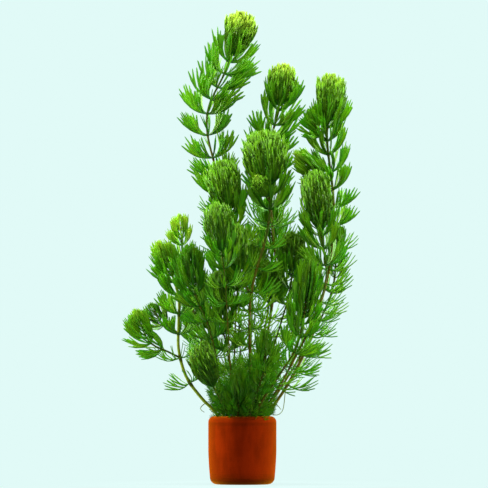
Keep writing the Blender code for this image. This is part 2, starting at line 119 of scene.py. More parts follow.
SHOOTS = (
    Shoot(
        "stem_01",
        ((3.5, -4.5, 32), (5, -6, 56), (5, -9, 92), (5, -10, 118), (8, -10, 137), (14, -9, 157),
         (18, -8, 178), (17, -8, 202), (12.5, -6, 233)),
        tuft_radius=17.5, tuft_length=36.0, lime=0.5, leaf_length=24.0, stem_radius=1.05, broad_for=22.0,
        bare_below=60.0, darkness=0.04,
        whorl_heights=(189.5, 181, 172, 157, 143, 127.5, 115, 103, 92, 80, 68),
    ),
    Shoot(
        "stem_02",
        ((6.5, 2.5, 32), (9, 9, 56), (16, 20, 95), (22, 27, 141), (18, 27, 194), (19, 22, 227),
         (24, 17, 247), (28, 14, 278)),
        tuft_radius=11.0, tuft_length=28.0, lime=1.05, leaf_length=23.0, stem_radius=0.9, drawn_up_for=20.0,
        broad_for=60.0,
        whorl_heights=(246.5, 237, 229),
    ),
    Shoot(
        "stem_03",
        ((11.5, 0, 32), (14.8, -0.5, 43), (20, -1, 51), (30, 0, 66), (42, 2, 89), (50, 4, 114),
         (57, 5, 140), (60, 5, 165), (60, 4, 191), (56, 3, 226), (57, 2, 244), (59, 2, 271)),
        tuft_radius=11.5, tuft_length=32.0, lime=0.8, leaf_length=22.0, stem_radius=1.05, drawn_up_for=48.0,
        broad_for=72.0, bare_below=60.0, darkness=0.02,
        whorl_heights=(235, 226, 217, 205.5, 194, 182.5, 171, 156, 142, 129, 115, 101, 88.5, 77, 66),
    ),
    Shoot(
        "stem_04",
        ((10.5, 5.5, 32), (12.8, 7.4, 45), (20, 13, 55), (31, 20, 72), (47, 24, 99), (59, 24, 126),
         (62, 22, 147), (63, 20, 173)),
        tuft_radius=6.5, lime=0.35, leaf_length=11.0, stem_radius=0.8, loose=True, darkness=0.1,
        whorl_heights=(143, 136, 126),
    ),
    Shoot(
        "stem_05",
        ((10.5, -6, 32), (12.8, -8, 45), (19, -13, 56), (30, -20, 75), (46, -24, 107),
         (55, -22, 135), (53, -22, 158), (50, -24, 181), (47, -24, 207)),
        tuft_radius=11.0, tuft_length=40.0, lime=0.35, leaf_length=22.0, stem_radius=0.8, broad_for=34.0,
        darkness=0.2,
    ),
    Shoot(
        "stem_06",
        ((-5.5, 3.5, 32), (-5, 6, 56), (-5, 7, 95), (-3, 7, 135), (-3, 3, 155), (-7, -2, 172),
         (-11, -5, 191), (-14, -6, 214)),
        tuft_radius=13.5, tuft_length=34.0, stem_radius=0.6, bare_below=60.0,
    ),
    Shoot(
        "stem_07",
        ((-3.5, -6, 32), (-6, -12, 56), (-9, -22, 95), (-11, -30, 132), (-14, -34, 158),
         (-17, -35, 186)),
        tuft_radius=10.5, tuft_length=32.0, lime=0.3, leaf_length=19.0, stem_radius=0.55, broad_for=22.0,
        bare_below=98.0, darkness=0.1,
    ),
    Shoot(
        "stem_08",
        ((-0.5, -1.5, 32), (0, -5, 56), (-2, -6, 102), (-3, -14, 135), (-4, -17, 172)),
        tuft_length=32.0, lime=0.12, leaf_length=15.0, stem_radius=0.5, bare_below=108.0,
    ),
    Shoot(
        "stem_09",
        ((-11.5, 5.5, 32), (-14, 12, 52), (-21, 18, 75), (-31, 20, 108), (-37, 18, 138),
         (-40, 15, 159), (-42, 12, 179)),
        tuft_radius=7.5, tuft_length=18.0, lime=3.0, leaf_length=14.0, loose=True,
    ),
    Shoot(
        "stem_10",
        ((-12, 0.5, 32), (-14.8, 0, 43), (-20, 0, 50), (-27, 0, 57), (-37, 0, 71), (-42, 0, 89),
         (-42, 0, 107), (-42, -1, 123), (-47, -3, 140), (-56, -5, 161)),
        tuft_radius=11.0, lime=1.1, leaf_length=20.0, stem_radius=1.15, stem_green=2.0, broad_for=44.0,
        bare_below=62.0, loose=True,
        whorl_heights=(133, 124, 112.5, 99, 83.5, 67),
    ),
    Shoot(
        "stem_11",
        ((-11.5, -4.5, 32), (-13, -9, 50), (-17, -17, 82), (-23, -20, 107), (-30, -22, 122),
         (-33, -23, 138), (-34, -24, 159)),
        tuft_radius=11.0, tuft_length=30.0, lime=0.3, leaf_length=19.0, broad_for=40.0, loose=True,
        darkness=0.38,
    ),
    Shoot(
        "stem_12",
        ((-7.5, -9.5, 32), (-9, -12, 45), (-13, -18, 54), (-20, -26, 67), (-24, -30, 79),
         (-25, -33, 95)),
        tuft_radius=10.0, tuft_length=32.0, lime=0.1, leaf_length=17.0, bare_below=60.0, bushy=True,
        darkness=0.1,
    ),
    Shoot(
        "stem_13",
        ((6.8, -1.8, 32), (10, 3, 56), (22, 10, 95), (30, 8, 122), (33, 6, 141), (33, 5, 167)),
        lime=0.3, bare_below=118.0, darkness=0.15,
    ),
    Shoot(
        "stem_14",
        ((6.5, -10.5, 32), (8.5, -12.5, 45), (14, -18, 57), (26, -26, 75), (36, -30, 92),
         (41, -32, 115), (45, -32, 151)),
        tuft_radius=11.0, tuft_length=42.0, lime=0.12, stem_radius=0.8, broad_for=30.0, bare_below=62.0,
        loose=True, darkness=0.05,
    ),
    Shoot(
        "stem_15",
        ((1.8, 3, 32), (5, 9, 56), (13, 12, 95), (18, 11, 122), (18, 9, 147)),
        tuft_length=24.0, lime=0.2, leaf_length=18.0, bare_below=118.0,
    ),
    Shoot(
        "stem_16",
        ((-1.5, 7.5, 32), (-1, 10, 45), (2.5, 16.5, 57), (6, 25, 102), (7, 26, 135), (10, 27, 162)),
        tuft_length=22.0, lime=0.8, leaf_length=18.0, bare_below=118.0,
    ),
    Shoot(
        "stem_17",
        ((1.5, -12, 32), (3, -14.5, 45), (7, -19, 55), (12, -24, 68), (15, -28, 82),
         (14, -31, 104)),
        lime=0.0, leaf_length=18.0, bare_below=60.0, loose=True, darkness=0.2,
        whorl_heights=(79, 74.5, 70, 65.5, 61),
    ),
    Shoot(
        "stem_18",
        ((-3.3, -12, 32), (-3, -14.6, 45), (-2.5, -21, 54), (-2.5, -28, 64), (-1, -33, 79)),
        tuft_length=28.0, lime=0.0, leaf_length=16.0, bare_below=60.0, loose=True, darkness=0.3,
        whorl_heights=(54, 50.5, 47),
    ),
    Shoot(
        "stem_19",
        ((-6.5, -1.5, 32), (-6, -5, 56), (-10, -7, 89), (-14, -8, 108), (-16, -10, 141)),
        tuft_length=30.0, lime=0.1, bare_below=60.0, darkness=0.2,
    ),
    Shoot(
        "stem_20",
        ((-3, 12, 32), (-3.8, 14.6, 45), (-6.5, 21, 58), (-11, 34, 102), (-12, 38, 141),
         (-9, 38, 178)),
        tuft_length=30.0, leaf_length=18.0, bare_below=118.0, loose=True,
    ),
    Shoot(
        "stem_21",
        ((2.5, 12, 32), (4, 14.5, 45), (8, 23, 60), (16, 38, 108), (20, 42, 155), (17, 42, 191)),
        tuft_length=30.0, leaf_length=18.0, bare_below=118.0, loose=True,
    ),
    Shoot(
        "stem_22",
        ((7.2, 9.8, 32), (9.2, 12, 45), (16, 22, 59), (30, 36, 92), (39, 40, 122), (42, 40, 149)),
        tuft_length=30.0, leaf_length=15.0, bare_below=118.0, loose=True,
    ),
    Shoot(
        "stem_23",
        ((-7.5, 9.5, 32), (-9, 12, 45), (-13.5, 20.5, 58), (-24, 33, 85), (-30, 36, 108),
         (-33, 37, 132)),
        tuft_length=28.0, leaf_length=18.0, loose=True,
    ),
    Shoot(
        "branch_01",
        ((5, -10, 126), (-3, -4, 141), (-11, 7, 165), (-16, 13, 201), (-23, 13, 231),
         (-22, 12, 250), (-12, 10, 271), (-4, 7, 292), (0, 4, 312)),
        tuft_radius=12.0, tuft_length=30.0, parent="stem_01", lime=1.3, leaf_length=23.0, stem_radius=0.85,
        drawn_up_for=10.0, broad_for=100.0, darkness=0.13,
        whorl_heights=(278.5, 271, 262, 254, 244.5, 230.5, 215.5),
    ),
    Shoot(
        "branch_02",
        ((18, -8, 186), (15, -14, 191), (12, -20, 197), (9, -23, 204)),
        tuft_radius=6.0, tuft_length=19.0, parent="stem_01", lime=0.8, leaf_length=13.0,
    ),
    Shoot(
        "branch_03",
        ((56, 3, 227), (51, -3, 232), (47, -7, 239), (43, -10, 248)),
        tuft_radius=7.0, tuft_length=17.0, parent="stem_03", lime=0.2, leaf_length=17.0, loose=True,
    ),
    Shoot(
        "branch_04",
        ((60, 4, 196), (54, -4, 200), (45, -12, 209), (34, -19, 220)),
        tuft_radius=9.0, tuft_length=30.0, parent="stem_03", lime=0.85, leaf_length=19.0, loose=True,
    ),
    Shoot(
        "branch_05",
        ((-42, 0, 84), (-50, -4, 88), (-60, -8, 93), (-66, -10, 103), (-71, -12, 116)),
        tuft_length=22.0, parent="stem_10", lime=1.0, leaf_length=17.0, broad_for=60.0, loose=True,
    ),
    Shoot(
        "branch_06",
        ((-42, 0, 100), (-50, 5, 104), (-56, 9, 110), (-61, 12, 120)),
        tuft_radius=7.0, tuft_length=15.0, parent="stem_10", lime=0.2, leaf_length=16.0, loose=True,
        darkness=0.3,
    ),
)


class Value:
    """A node's output, which Python's operators work on; each of them adds its Math node."""

    def __init__(self, graph: "Graph", socket: bpy.types.NodeSocket | None) -> None:
        """Wraps one output socket of a graph's node."""
        self.graph = graph
        self.socket = socket

    def output(self, name: str) -> "Value":
        """Another output of the same node."""
        return Value(self.graph, self.graph.socket(self.socket.node.outputs, name))

    def __add__(self, other: "Value | float") -> "Value":
        """The sum."""
        return self.graph.maths("ADD", self, other)

    __radd__ = __add__

    def __sub__(self, other: "Value | float") -> "Value":
        """The difference."""
        return self.graph.maths("SUBTRACT", self, other)

    def __rsub__(self, other: float) -> "Value":
        """The difference from a number."""
        return self.graph.maths("SUBTRACT", other, self)

    def __mul__(self, other: "Value | float") -> "Value":
        """The product."""
        return self.graph.maths("MULTIPLY", self, other)

    __rmul__ = __mul__

    def __truediv__(self, other: "Value | float") -> "Value":
        """The quotient."""
        return self.graph.maths("DIVIDE", self, other)


class Graph:
    """Adds nodes to one tree, of a material, a world or a Geometry Nodes group."""

    def __init__(self, tree: bpy.types.NodeTree) -> None:
        """Takes the tree that the nodes go into."""
        self.tree = tree

    @classmethod
    def emptied(cls, holder: bpy.types.Material | bpy.types.World) -> "Graph":
        """The tree of a new material or world, with nothing in it yet."""
        holder.use_nodes = True
        holder.node_tree.nodes.clear()
        return cls(holder.node_tree)

    @staticmethod
    def socket(sockets: Any, key: str | int) -> bpy.types.NodeSocket:
        """A socket by its number, or the shown one of a name."""
        if isinstance(key, int):
            return sockets[key]
        return next(socket for socket in sockets if socket.name == key and socket.enabled)

    def add(self, kind: str, inputs: dict[Any, Any] | None = None, **settings: Any) -> Value:
        """Adds a node and fills it in.

        Args:
            kind: the node's type name.
            inputs: a number, a colour or a Value for each socket that isn't left as it is.
            settings: its properties by name, which are set first.

        Returns:
            The node's first shown output.
        """
        node = self.tree.nodes.new(kind)
        for name, setting in settings.items():
            setattr(node, name, setting)
        for key, value in (inputs or {}).items():
            target = self.socket(node.inputs, key)
            if isinstance(value, Value):
                self.tree.links.new(value.socket, target)
            else:
                target.default_value = value
        return Value(self, next((socket for socket in node.outputs if socket.enabled), None))

    def maths(self, operation: str, *values: Value | float) -> Value:
        """A Math node on numbers."""
        return self.add("ShaderNodeMath", dict(enumerate(values)), operation=operation)

    def mix(self, share: Value | float, first: Any, second: Any, blend: str = "MIX") -> Value:
        """A colour between two others, or one blended on the other."""
        inputs = {"Factor": share, "A": self.colour(first), "B": self.colour(second)}
        return self.add("ShaderNodeMix", inputs, data_type="RGBA", blend_type=blend)

    def lit(self, colour: Value, light: Value) -> Value:
        """A colour made darker or lighter by a number."""
        grey = self.add("ShaderNodeCombineColor", {0: light, 1: light, 2: light})
        return self.mix(1.0, colour, grey, "MULTIPLY")

    @staticmethod
    def colour(value: Any) -> Any:
        """A colour socket's value: a tuple of three gets its alpha."""
        return (*value, 1.0) if isinstance(value, tuple) and len(value) == 3 else value

    def step(self, value: Value, span: Span) -> Value:
        """0 where the span starts and 1 where it ends, with a smooth change between."""
        inputs = {"Value": value, "From Min": span[0], "From Max": span[1]}
        return self.add("ShaderNodeMapRange", inputs, interpolation_type="SMOOTHSTEP")

    def attribute(self, name: str) -> Value:
        """A number that the mesh holds, in a material."""
        return self.add("ShaderNodeAttribute", attribute_name=name).output("Fac")

    def place(self) -> Value:
        """The point in the object's own coordinates, in a material."""
        return self.add("ShaderNodeTexCoord").output("Object")

    def height(self, where: Value) -> Value:
        """A point's height."""
        return self.add("ShaderNodeSeparateXYZ", {"Vector": where}).output("Z")

    def stretched(self, where: Value, upward: float) -> Value:
        """A point with its height scaled: under 1 draws a texture out upwards, over 1 packs it together."""
        return self.add("ShaderNodeMapping", {"Vector": where, "Scale": (1.0, 1.0, upward)})

    def noise(self, where: Value, grain: Grain) -> Value:
        """Noise of so many features a metre, with so many finer layers."""
        return self.add("ShaderNodeTexNoise", {"Vector": where, "Scale": grain[0], "Detail": grain[1]})

    def bump(self, strength: float, distance: float, height: Value) -> Value:
        """A normal tilted by a relief that is so many metres high."""
        inputs = {"Strength": strength, "Distance": distance, "Height": height}
        return self.add("ShaderNodeBump", inputs)


class Finish:
    """What the part's finishes share: a Principled material that its nodes are built into.

    A finish's spans are where a smooth change starts and ends, and its grains are a noise's features a metre
    and the number of its finer layers.
    """

    title: str
    roughness: float
    specular: float
    translucency: float = 0.0
    glow: Colour = (1.0, 1.0, 1.0)

    def material(self) -> bpy.types.Material:
        """Builds the material."""
        made = bpy.data.materials.new(self.title)
        graph = Graph.emptied(made)
        inputs = {"Roughness": self.roughness, "Specular IOR Level": self.specular, **self.sockets(graph)}
        shader = graph.add("ShaderNodeBsdfPrincipled", inputs)
        if self.translucency:
            through = graph.add("ShaderNodeBsdfTranslucent", {"Color": graph.colour(self.glow)})
            shader = graph.add("ShaderNodeMixShader", {0: self.translucency, 1: shader, 2: through})
        graph.add("ShaderNodeOutputMaterial", {"Surface": shader})
        return made

    def sockets(self, graph: Graph) -> dict[str, Any]:
        """The shader's other sockets.

        Args:
            graph: adds nodes to the material.

        Returns:
            A value for each socket by name.
        """
        raise NotImplementedError


@dataclass(frozen=True)
class LeafFinish(Finish):
    """Thin green leaves, yellower the younger they are, with painted shade at their foot and along their
    lower side and a painted highlight along their upper side.
    """

    title: str = "hornwort leaf"
    # The foot colour is painted shade where the leaf meets the stem.
    foot: Colour = (0.006, 0.1, 0.002)
    body: Colour = (0.2, 0.42, 0.006)
    cool_body: Colour = (0.07, 0.325, 0.006)
    tip: Colour = (0.12, 0.25, 0.006)
    lime: Colour = (0.4, 0.59, 0.03)
    olive: Colour = (0.17, 0.43, 0.01)
    roughness: float = 0.42
    specular: float = 0.14
    translucency: float = 0.33
    glow: Colour = (0.22, 0.68, 0.008)
    # Where the painted shade at the foot ends, and how much less of it young leaves get.
    foot_shade_span: Span = (0.45, 0.0)
    foot_shade_fading: float = 0.7
    tip_span: Span = (0.82, 1.0)
    tip_share: float = 0.5
    lime_span: Span = (0.3, 0.95)
    young_span: Span = (0.55, 1.35)
    young_lead: float = 0.5
    youth_span: Span = (0.0, 0.3)
    # Painted light across a leaf: a painted highlight on its upper corner, painted shade on its lower ones,
    # less deep on young leaves.
    upper_light: float = 1.3
    lower_light: float = 0.2
    young_lower_light: float = 0.6
    # Painted shade on leaves low over the pot, deeper on some leaves than others.
    low_shade: float = 0.66
    low_shade_most: float = 1.3
    low_shade_range: float = 0.7
    low_shade_span: Span = (0.076, 0.05)
    cell_grain: Grain = (500.0, 3.0)
    cell_light: float = 0.94
    cell_light_range: float = 0.12
    cell_roughness: float = 0.2
    cell_strength: float = 0.4
    cell_height: float = 0.00006

    def sockets(self, graph: Graph) -> dict[str, Any]:
        """Colours the leaf along its length and by its age, and paints light and shade on it: a painted
        highlight on its upper corner, painted shade on its lower ones, on shaded shoots and low over the pot.
        """
        along, youth = graph.attribute("along"), graph.attribute("youth")
        ridge, tint = graph.attribute("ridge"), graph.attribute("tint")
        where = graph.place()
        cells = graph.noise(where, self.cell_grain)
        # Painted shade at the leaf's foot, where it meets the stem, less on young leaves.
        foot = graph.step(along, self.foot_shade_span) * (1.0 - self.foot_shade_fading * youth)
        grown = graph.mix(foot, graph.mix(tint, self.cool_body, self.body), self.foot)
        grown = graph.mix(graph.step(along, self.tip_span) * self.tip_share, grown, self.tip)
        young = graph.mix(graph.step(youth, self.lime_span), self.olive, self.lime)
        reached = graph.step(along + self.young_lead * youth, self.young_span)
        youngness = reached * graph.step(youth, self.youth_span)
        # Painted light: a painted highlight on the upper corner and painted shade on the lower ones.
        lowest = self.lower_light + self.young_lower_light * youth
        light = lowest + (self.upper_light - lowest) * graph.step(ridge, (0.0, 1.0))
        light = light * (self.cell_light + self.cell_light_range * cells)
        # Painted shade on shoots that other shoots shade.
        light = light * (1.0 - graph.attribute("darkness"))
        # Painted shade on leaves low over the pot.
        low_shade = self.low_shade * (self.low_shade_most - self.low_shade_range * tint)
        light = light * (1.0 - low_shade * graph.step(graph.height(where), self.low_shade_span))
        return {
            "Base Color": graph.lit(graph.mix(youngness, grown, young), light),
            "Normal": graph.bump(self.cell_strength, self.cell_height, cells),
            "Roughness": self.roughness - self.cell_roughness / 2 + self.cell_roughness * cells,
        }


@dataclass(frozen=True)
class StemFinish(Finish):
    """The skin of a stem: brown below and dark where it is young, with fine ribs; a few are pale green."""

    title: str = "hornwort stem"
    old: Colour = (0.1, 0.088, 0.006)
    young: Colour = (0.04, 0.075, 0.003)
    pale: Colour = (0.15, 0.2, 0.008)
    joint: Colour = (0.045, 0.045, 0.003)
    roughness: float = 0.5
    specular: float = 0.04
    young_span: Span = (0.1, 0.6)
    pale_span: Span = (1.0, 2.0)
    joint_share: float = 0.6
    patch_grain: Grain = (65.0, 2.0)
    patch_share: float = 0.6
    streak_grain: Grain = (1040.0, 3.0)
    streak_stretch: float = 0.15
    streak_light: float = 0.65
    streak_light_range: float = 0.7
    streak_strength: float = 0.6
    streak_height: float = 0.0002

    def sockets(self, graph: Graph) -> dict[str, Any]:
        """Colours the stem by its age, with streaks drawn out along it."""
        youth = graph.attribute("youth")
        streaks = graph.noise(graph.stretched(graph.place(), self.streak_stretch), self.streak_grain)
        patches = graph.noise(graph.place(), self.patch_grain)
        youngness = graph.step(youth + (patches - 0.5) * self.patch_share, self.young_span)
        colour = graph.mix(youngness, self.old, self.young)
        colour = graph.mix(graph.step(youth, self.pale_span), colour, self.pale)
        colour = graph.mix(graph.attribute("node") * self.joint_share, colour, self.joint)
        return {
            "Base Color": graph.lit(colour, self.streak_light + self.streak_light_range * streaks),
            "Normal": graph.bump(self.streak_strength, self.streak_height, streaks),
        }


@dataclass(frozen=True)
class ClayFinish(Finish):
    """Fired clay: orange red with fine grit and dark specks, with a painted highlight on its shoulder and
    painted shade under it and at its foot.
    """

    title: str = "fired clay"
    clay: Colour = (0.145, 0.008, 0.0005)
    # The pale colour serves the shoulder's painted highlight and the pale grit.
    pale: Colour = (0.19, 0.0145, 0.001)
    dark: Colour = (0.1, 0.005, 0.0003)
    # The colour of the painted shade under the shoulder and at the foot.
    damp_and_shade: Colour = (0.05, 0.0045, 0.0002)
    speck: Colour = (0.08, 0.008, 0.0005)
    roughness: float = 0.8
    specular: float = 0.0
    cloud_grain: Grain = (130.0, 4.0)
    cloud_stretch: float = 0.4
    cloud_span: Span = (0.38, 0.62)
    cloud_share: float = 0.9
    cloud_roughness: float = 0.2
    turning_grain: Grain = (60.0, 3.0)
    turning_stretch: float = 12.0
    # A painted highlight on the shoulder, which faces up.
    shoulder_highlight_span: Span = (0.0405, 0.042)
    shoulder_highlight_share: float = 0.25
    # A band of painted shade just under the shoulder.
    rim_shade_from: Span = (0.0385, 0.0395)
    rim_shade_to: Span = (0.0415, 0.0405)
    rim_shade_share: float = 0.3
    # Painted shade darkening the foot, where the pot meets the floor; its edge wanders.
    foot_shade_span: Span = (0.009, 0.0005)
    foot_wander: float = 0.006
    speck_scale: float = 420.0
    speck_span: Span = (0.16, 0.05)
    speck_grit: Span = (0.45, 0.6)
    grit_grain: Grain = (2600.0, 2.0)
    pale_grit: Span = (0.6, 0.75)
    pale_grit_share: float = 0.35
    relief: tuple[float, float, float] = (0.6, 0.5, 0.6)
    relief_strength: float = 0.5
    relief_height: float = 0.00022
    bloom: Colour = (1.0, 0.32, 0.01)
    bloom_weight: float = 0.4
    bloom_roughness: float = 0.45

    def sockets(self, graph: Graph) -> dict[str, Any]:
        """Mixes clouds, grit and specks, with a painted highlight on the shoulder and painted shade in a band
        under it and at the foot.
        """
        where = graph.place()
        height = graph.height(where)
        clouds = graph.noise(graph.stretched(where, self.cloud_stretch), self.cloud_grain)
        grit = graph.noise(where, self.grit_grain)
        specks = graph.add("ShaderNodeTexVoronoi", {"Vector": where, "Scale": self.speck_scale})
        turning = graph.noise(graph.stretched(where, self.turning_stretch), self.turning_grain)
        cloudiness = clouds * self.cloud_share + turning * (1.0 - self.cloud_share)
        # Painted shade in a band under the shoulder.
        rim_shade = graph.step(height, self.rim_shade_from) * graph.step(height, self.rim_shade_to)
        # Painted shade at the foot.
        foot = graph.step(height + (turning - 0.5) * self.foot_wander, self.foot_shade_span)
        spotted = graph.step(specks, self.speck_span) * graph.step(grit, self.speck_grit)
        colour = graph.mix(graph.step(cloudiness, self.cloud_span), self.dark, self.clay)
        # A painted highlight on the shoulder, painted shade under it and at the foot, then dark specks and
        # pale grit.
        layers = (
            (graph.step(height, self.shoulder_highlight_span) * self.shoulder_highlight_share, self.pale),
            (rim_shade * self.rim_shade_share, self.damp_and_shade),
            (foot, self.damp_and_shade),
            (spotted, self.speck),
            (graph.step(grit, self.pale_grit) * self.pale_grit_share, self.pale),
        )
        for share, over in layers:
            colour = graph.mix(share, colour, over)
        grit_relief, turning_relief, cloud_relief = self.relief
        relief = grit * grit_relief + turning * turning_relief + clouds * cloud_relief
        return {
            "Base Color": colour,
            "Normal": graph.bump(self.relief_strength, self.relief_height, relief),
            "Roughness": self.roughness + self.cloud_roughness * clouds,
            "Sheen Weight": self.bloom_weight,
            "Sheen Roughness": self.bloom_roughness,
            "Sheen Tint": graph.colour(self.bloom),
        }


@dataclass(frozen=True)
class WoolFinish(Finish):
    """Planting wool: matted fibres, grey green where they are wet."""

    title: str = "planting wool"
    # Wet fibres: this colour has no light or shade painted in it.
    damp_and_shade: Colour = (0.035, 0.04, 0.012)
    dry: Colour = (0.17, 0.15, 0.07)
    roughness: float = 0.95
    specular: float = 0.1
    mat_grain: Grain = (700.0, 5.0)
    mat_share: float = 0.6
    mat_strength: float = 0.8
    mat_height: float = 0.0006
    patch_grain: Grain = (140.0, 2.0)
    dry_span: Span = (0.4, 0.62)

    def sockets(self, graph: Graph) -> dict[str, Any]:
        """Mixes damp and dry fibres."""
        where = graph.place()
        mat = graph.noise(where, self.mat_grain)
        patches = graph.noise(where, self.patch_grain)
        dryness = graph.step(mat * self.mat_share + patches * (1.0 - self.mat_share), self.dry_span)
        return {
            "Base Color": graph.mix(dryness, self.damp_and_shade, self.dry),
            "Normal": graph.bump(self.mat_strength, self.mat_height, mat),
        }


@dataclass
class Finishes:
    """The part's materials, made once."""

    leaf: bpy.types.Material = field(default_factory=lambda: LeafFinish().material())
    stem: bpy.types.Material = field(default_factory=lambda: StemFinish().material())
    clay: bpy.types.Material = field(default_factory=lambda: ClayFinish().material())
    wool: bpy.types.Material = field(default_factory=lambda: WoolFinish().material())


class Shading(Enum):
    """How a mesh's faces are shaded: flat, smooth, or smooth with its sharp edges kept."""

    FLAT = 0
    SMOOTH = 1
    CREASED = 2


def finished_mesh(bm: bmesh.types.BMesh, name: str, shading: Shading) -> bpy.types.Mesh:
    """A mesh from what was built, with its faces turned outward.

    Args:
        bm: what was built; it is used up.
        name: the mesh's name.
        shading: how its faces are shaded.

    Returns:
        The mesh.
    """
    bmesh.ops.recalc_face_normals(bm, faces=bm.faces)
    mesh = bpy.data.meshes.new(name)
    bm.to_mesh(mesh)
    bm.free()
    if shading is not Shading.FLAT:
        mesh.shade_smooth()
    if shading is Shading.CREASED:
        mesh.set_sharp_from_angle(angle=SHARP_ANGLE)
    return mesh


def bridge(bm: bmesh.types.BMesh, lower: list[Any], upper: list[Any]) -> None:
    """Joins two rings of equally many corners with a band of faces."""
    for corner in range(len(lower)):
        after = (corner + 1) % len(lower)
        bm.faces.new((lower[corner], lower[after], upper[after], upper[corner]))


def add_object(name: str, data: bpy.types.ID) -> bpy.types.Object:
    """Puts a mesh, a light or a camera into the scene."""
    made = bpy.data.objects.new(name, data)
    bpy.context.scene.collection.objects.link(made)
    return made


def remove_collection(collection: bpy.types.Collection) -> None:
    """Removes a collection and its objects."""
    for held in list(collection.objects):
        bpy.data.objects.remove(held)
    bpy.data.collections.remove(collection)


def add_piece(name: str, mesh: bpy.types.Mesh, slot: Slot, *nodes: str) -> bpy.types.Object:
    """Puts a finished mesh into the scene as a piece of the part.

    Args:
        name: the piece's name.
        mesh: its mesh, in place.
        slot: the record's slot for the piece; it is not used.
        nodes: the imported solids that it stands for.

    Returns:
        The piece.
    """
    mesh.name = name
    piece = add_object(name, mesh)
    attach(piece, BODY)
    if nodes:
        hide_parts(*nodes)
    LOG.info("%s: %d faces", name, len(mesh.polygons))
    return piece


class Course:
    """A smooth curve through a route's points, measured along its length in millimetres."""

    SAMPLES_PER_SPAN = 12
    TANGENT_REACH = 0.5

    def __init__(self, route: tuple[Point, ...]) -> None:
        """Samples the curve through the route's points."""
        knots = [Vector(point) for point in route]
        knots = [2 * knots[0] - knots[1], *knots, 2 * knots[-1] - knots[-2]]
        self.points = [
            self.between(*four, sample / self.SAMPLES_PER_SPAN)
            for four in zip(knots, knots[1:], knots[2:], knots[3:])
            for sample in range(self.SAMPLES_PER_SPAN)
        ]
        self.points.append(knots[-2])
        steps = [(b - a).length for a, b in zip(self.points, self.points[1:])]
        self.marks = [0.0, *np.cumsum(steps).tolist()]
        self.length = self.marks[-1]

    @staticmethod
    def between(before: Vector, start: Vector, end: Vector, after: Vector, t: float) -> Vector:
        """A point of the Catmull-Rom span from start to end."""
        linear = (end - before) * t
        square = (2 * before - 5 * start + 4 * end - after) * t**2
        cube = (3 * start - before - 3 * end + after) * t**3
        return 0.5 * (2 * start + linear + square + cube)

    def at(self, distance: float) -> Vector:
        """The point that far along the course; past either end it runs straight on."""
        index = min(max(int(np.searchsorted(self.marks, distance)), 1), len(self.points) - 1)
        span = self.marks[index] - self.marks[index - 1]
        share = (distance - self.marks[index - 1]) / span
        return self.points[index - 1].lerp(self.points[index], share)

    def distance_at(self, height: float) -> float:
        """How far along a course that only rises reaches a height."""
        return float(np.interp(height, [point.z for point in self.points], self.marks))

    def direction(self, distance: float) -> Vector:
        """The unit tangent that far along."""
        reach = self.TANGENT_REACH
        return (self.at(distance + reach) - self.at(distance - reach)).normalized()


class LeafAge(Enum):
    """How far a leaf has opened, or that it grew low in the shade. The values number the shapes' groups."""

    FOLDED = 0
    OPENING = 1
    OPEN = 2
    OLD = 3
    SHADED = 4


@dataclass(frozen=True)
class Fork:
    """Where a leaf's arms part, as a share of its length, and by how many degrees up and to each side."""

    at: float
    up: float
    side: float


@dataclass(frozen=True)
class Arm:
    """One arm of a leaf: where it starts, and how it is turned from the leaf's own heading, in degrees.

    The start is also given as a share of the leaf's length, and the level is how many forks lie below it.
    """

    place: Vector
    up: float = 0.0
    side: float = 0.0
    start: float = 0.0
    level: int = 0
    is_lowest: bool = True


@dataclass(frozen=True)
class LeafForm:
    """How leaves of one age grow.

    Headings are in degrees above square to the stem, and sizes are shares of the leaf's length. A leaf's arms
    part in the plane through the stem, and each is a slim prong with three sides. Its upper corner gets the
    full painted light, and its lower ones get painted shade: the edge's light on the leaf's lowest arms and
    the inner light on all others.
    """

    age: LeafAge
    root_heading: float
    tip_heading: float
    forks: tuple[Fork, ...]
    root_height: float
    arm_height: float
    tip_height: float
    slimness: float = 0.55
    closing: float = 0.5
    wander: float = 3.0
    smooth: bool = False
    # Painted shade on a leaf's lower corners: on its lowest arms, and on all others.
    edge_light: float = 0.0
    inner_light: float = 0.45
    spans: tuple[int, ...] = (2, 2, 2)

    EVEN_BEND = 0.4
    FULL_HEIGHT = (0.35, 0.75)
    CHORD_STEPS = 40

    def name(self, variant: int) -> str:
        """A name that sorts the shapes by age and then by variant."""
        return f"leaf_{self.age.value}_{variant}"

    def heading(self, share: float) -> float:
        """The leaf's heading that share of the way along it."""
        curved = share * share * (3 - 2 * share)
        bend = self.EVEN_BEND * share + (1 - self.EVEN_BEND) * curved
        return self.root_heading + (self.tip_heading - self.root_heading) * bend

    def chord(self) -> tuple[float, float]:
        """How far out and up the tip of a leaf of unit length ends."""
        steps = self.CHORD_STEPS
        headings = [math.radians(self.heading((step + 0.5) / steps)) for step in range(steps)]
        return sum(map(math.cos, headings)) / steps, sum(map(math.sin, headings)) / steps

    def height(self, share: float) -> float:
        """How far an arm's upper edge stands above its middle, that share of the way along the leaf."""
        heights = (self.root_height, self.arm_height, self.arm_height, self.tip_height)
        return float(np.interp(share, (0.0, *self.FULL_HEIGHT, 1.0), heights))


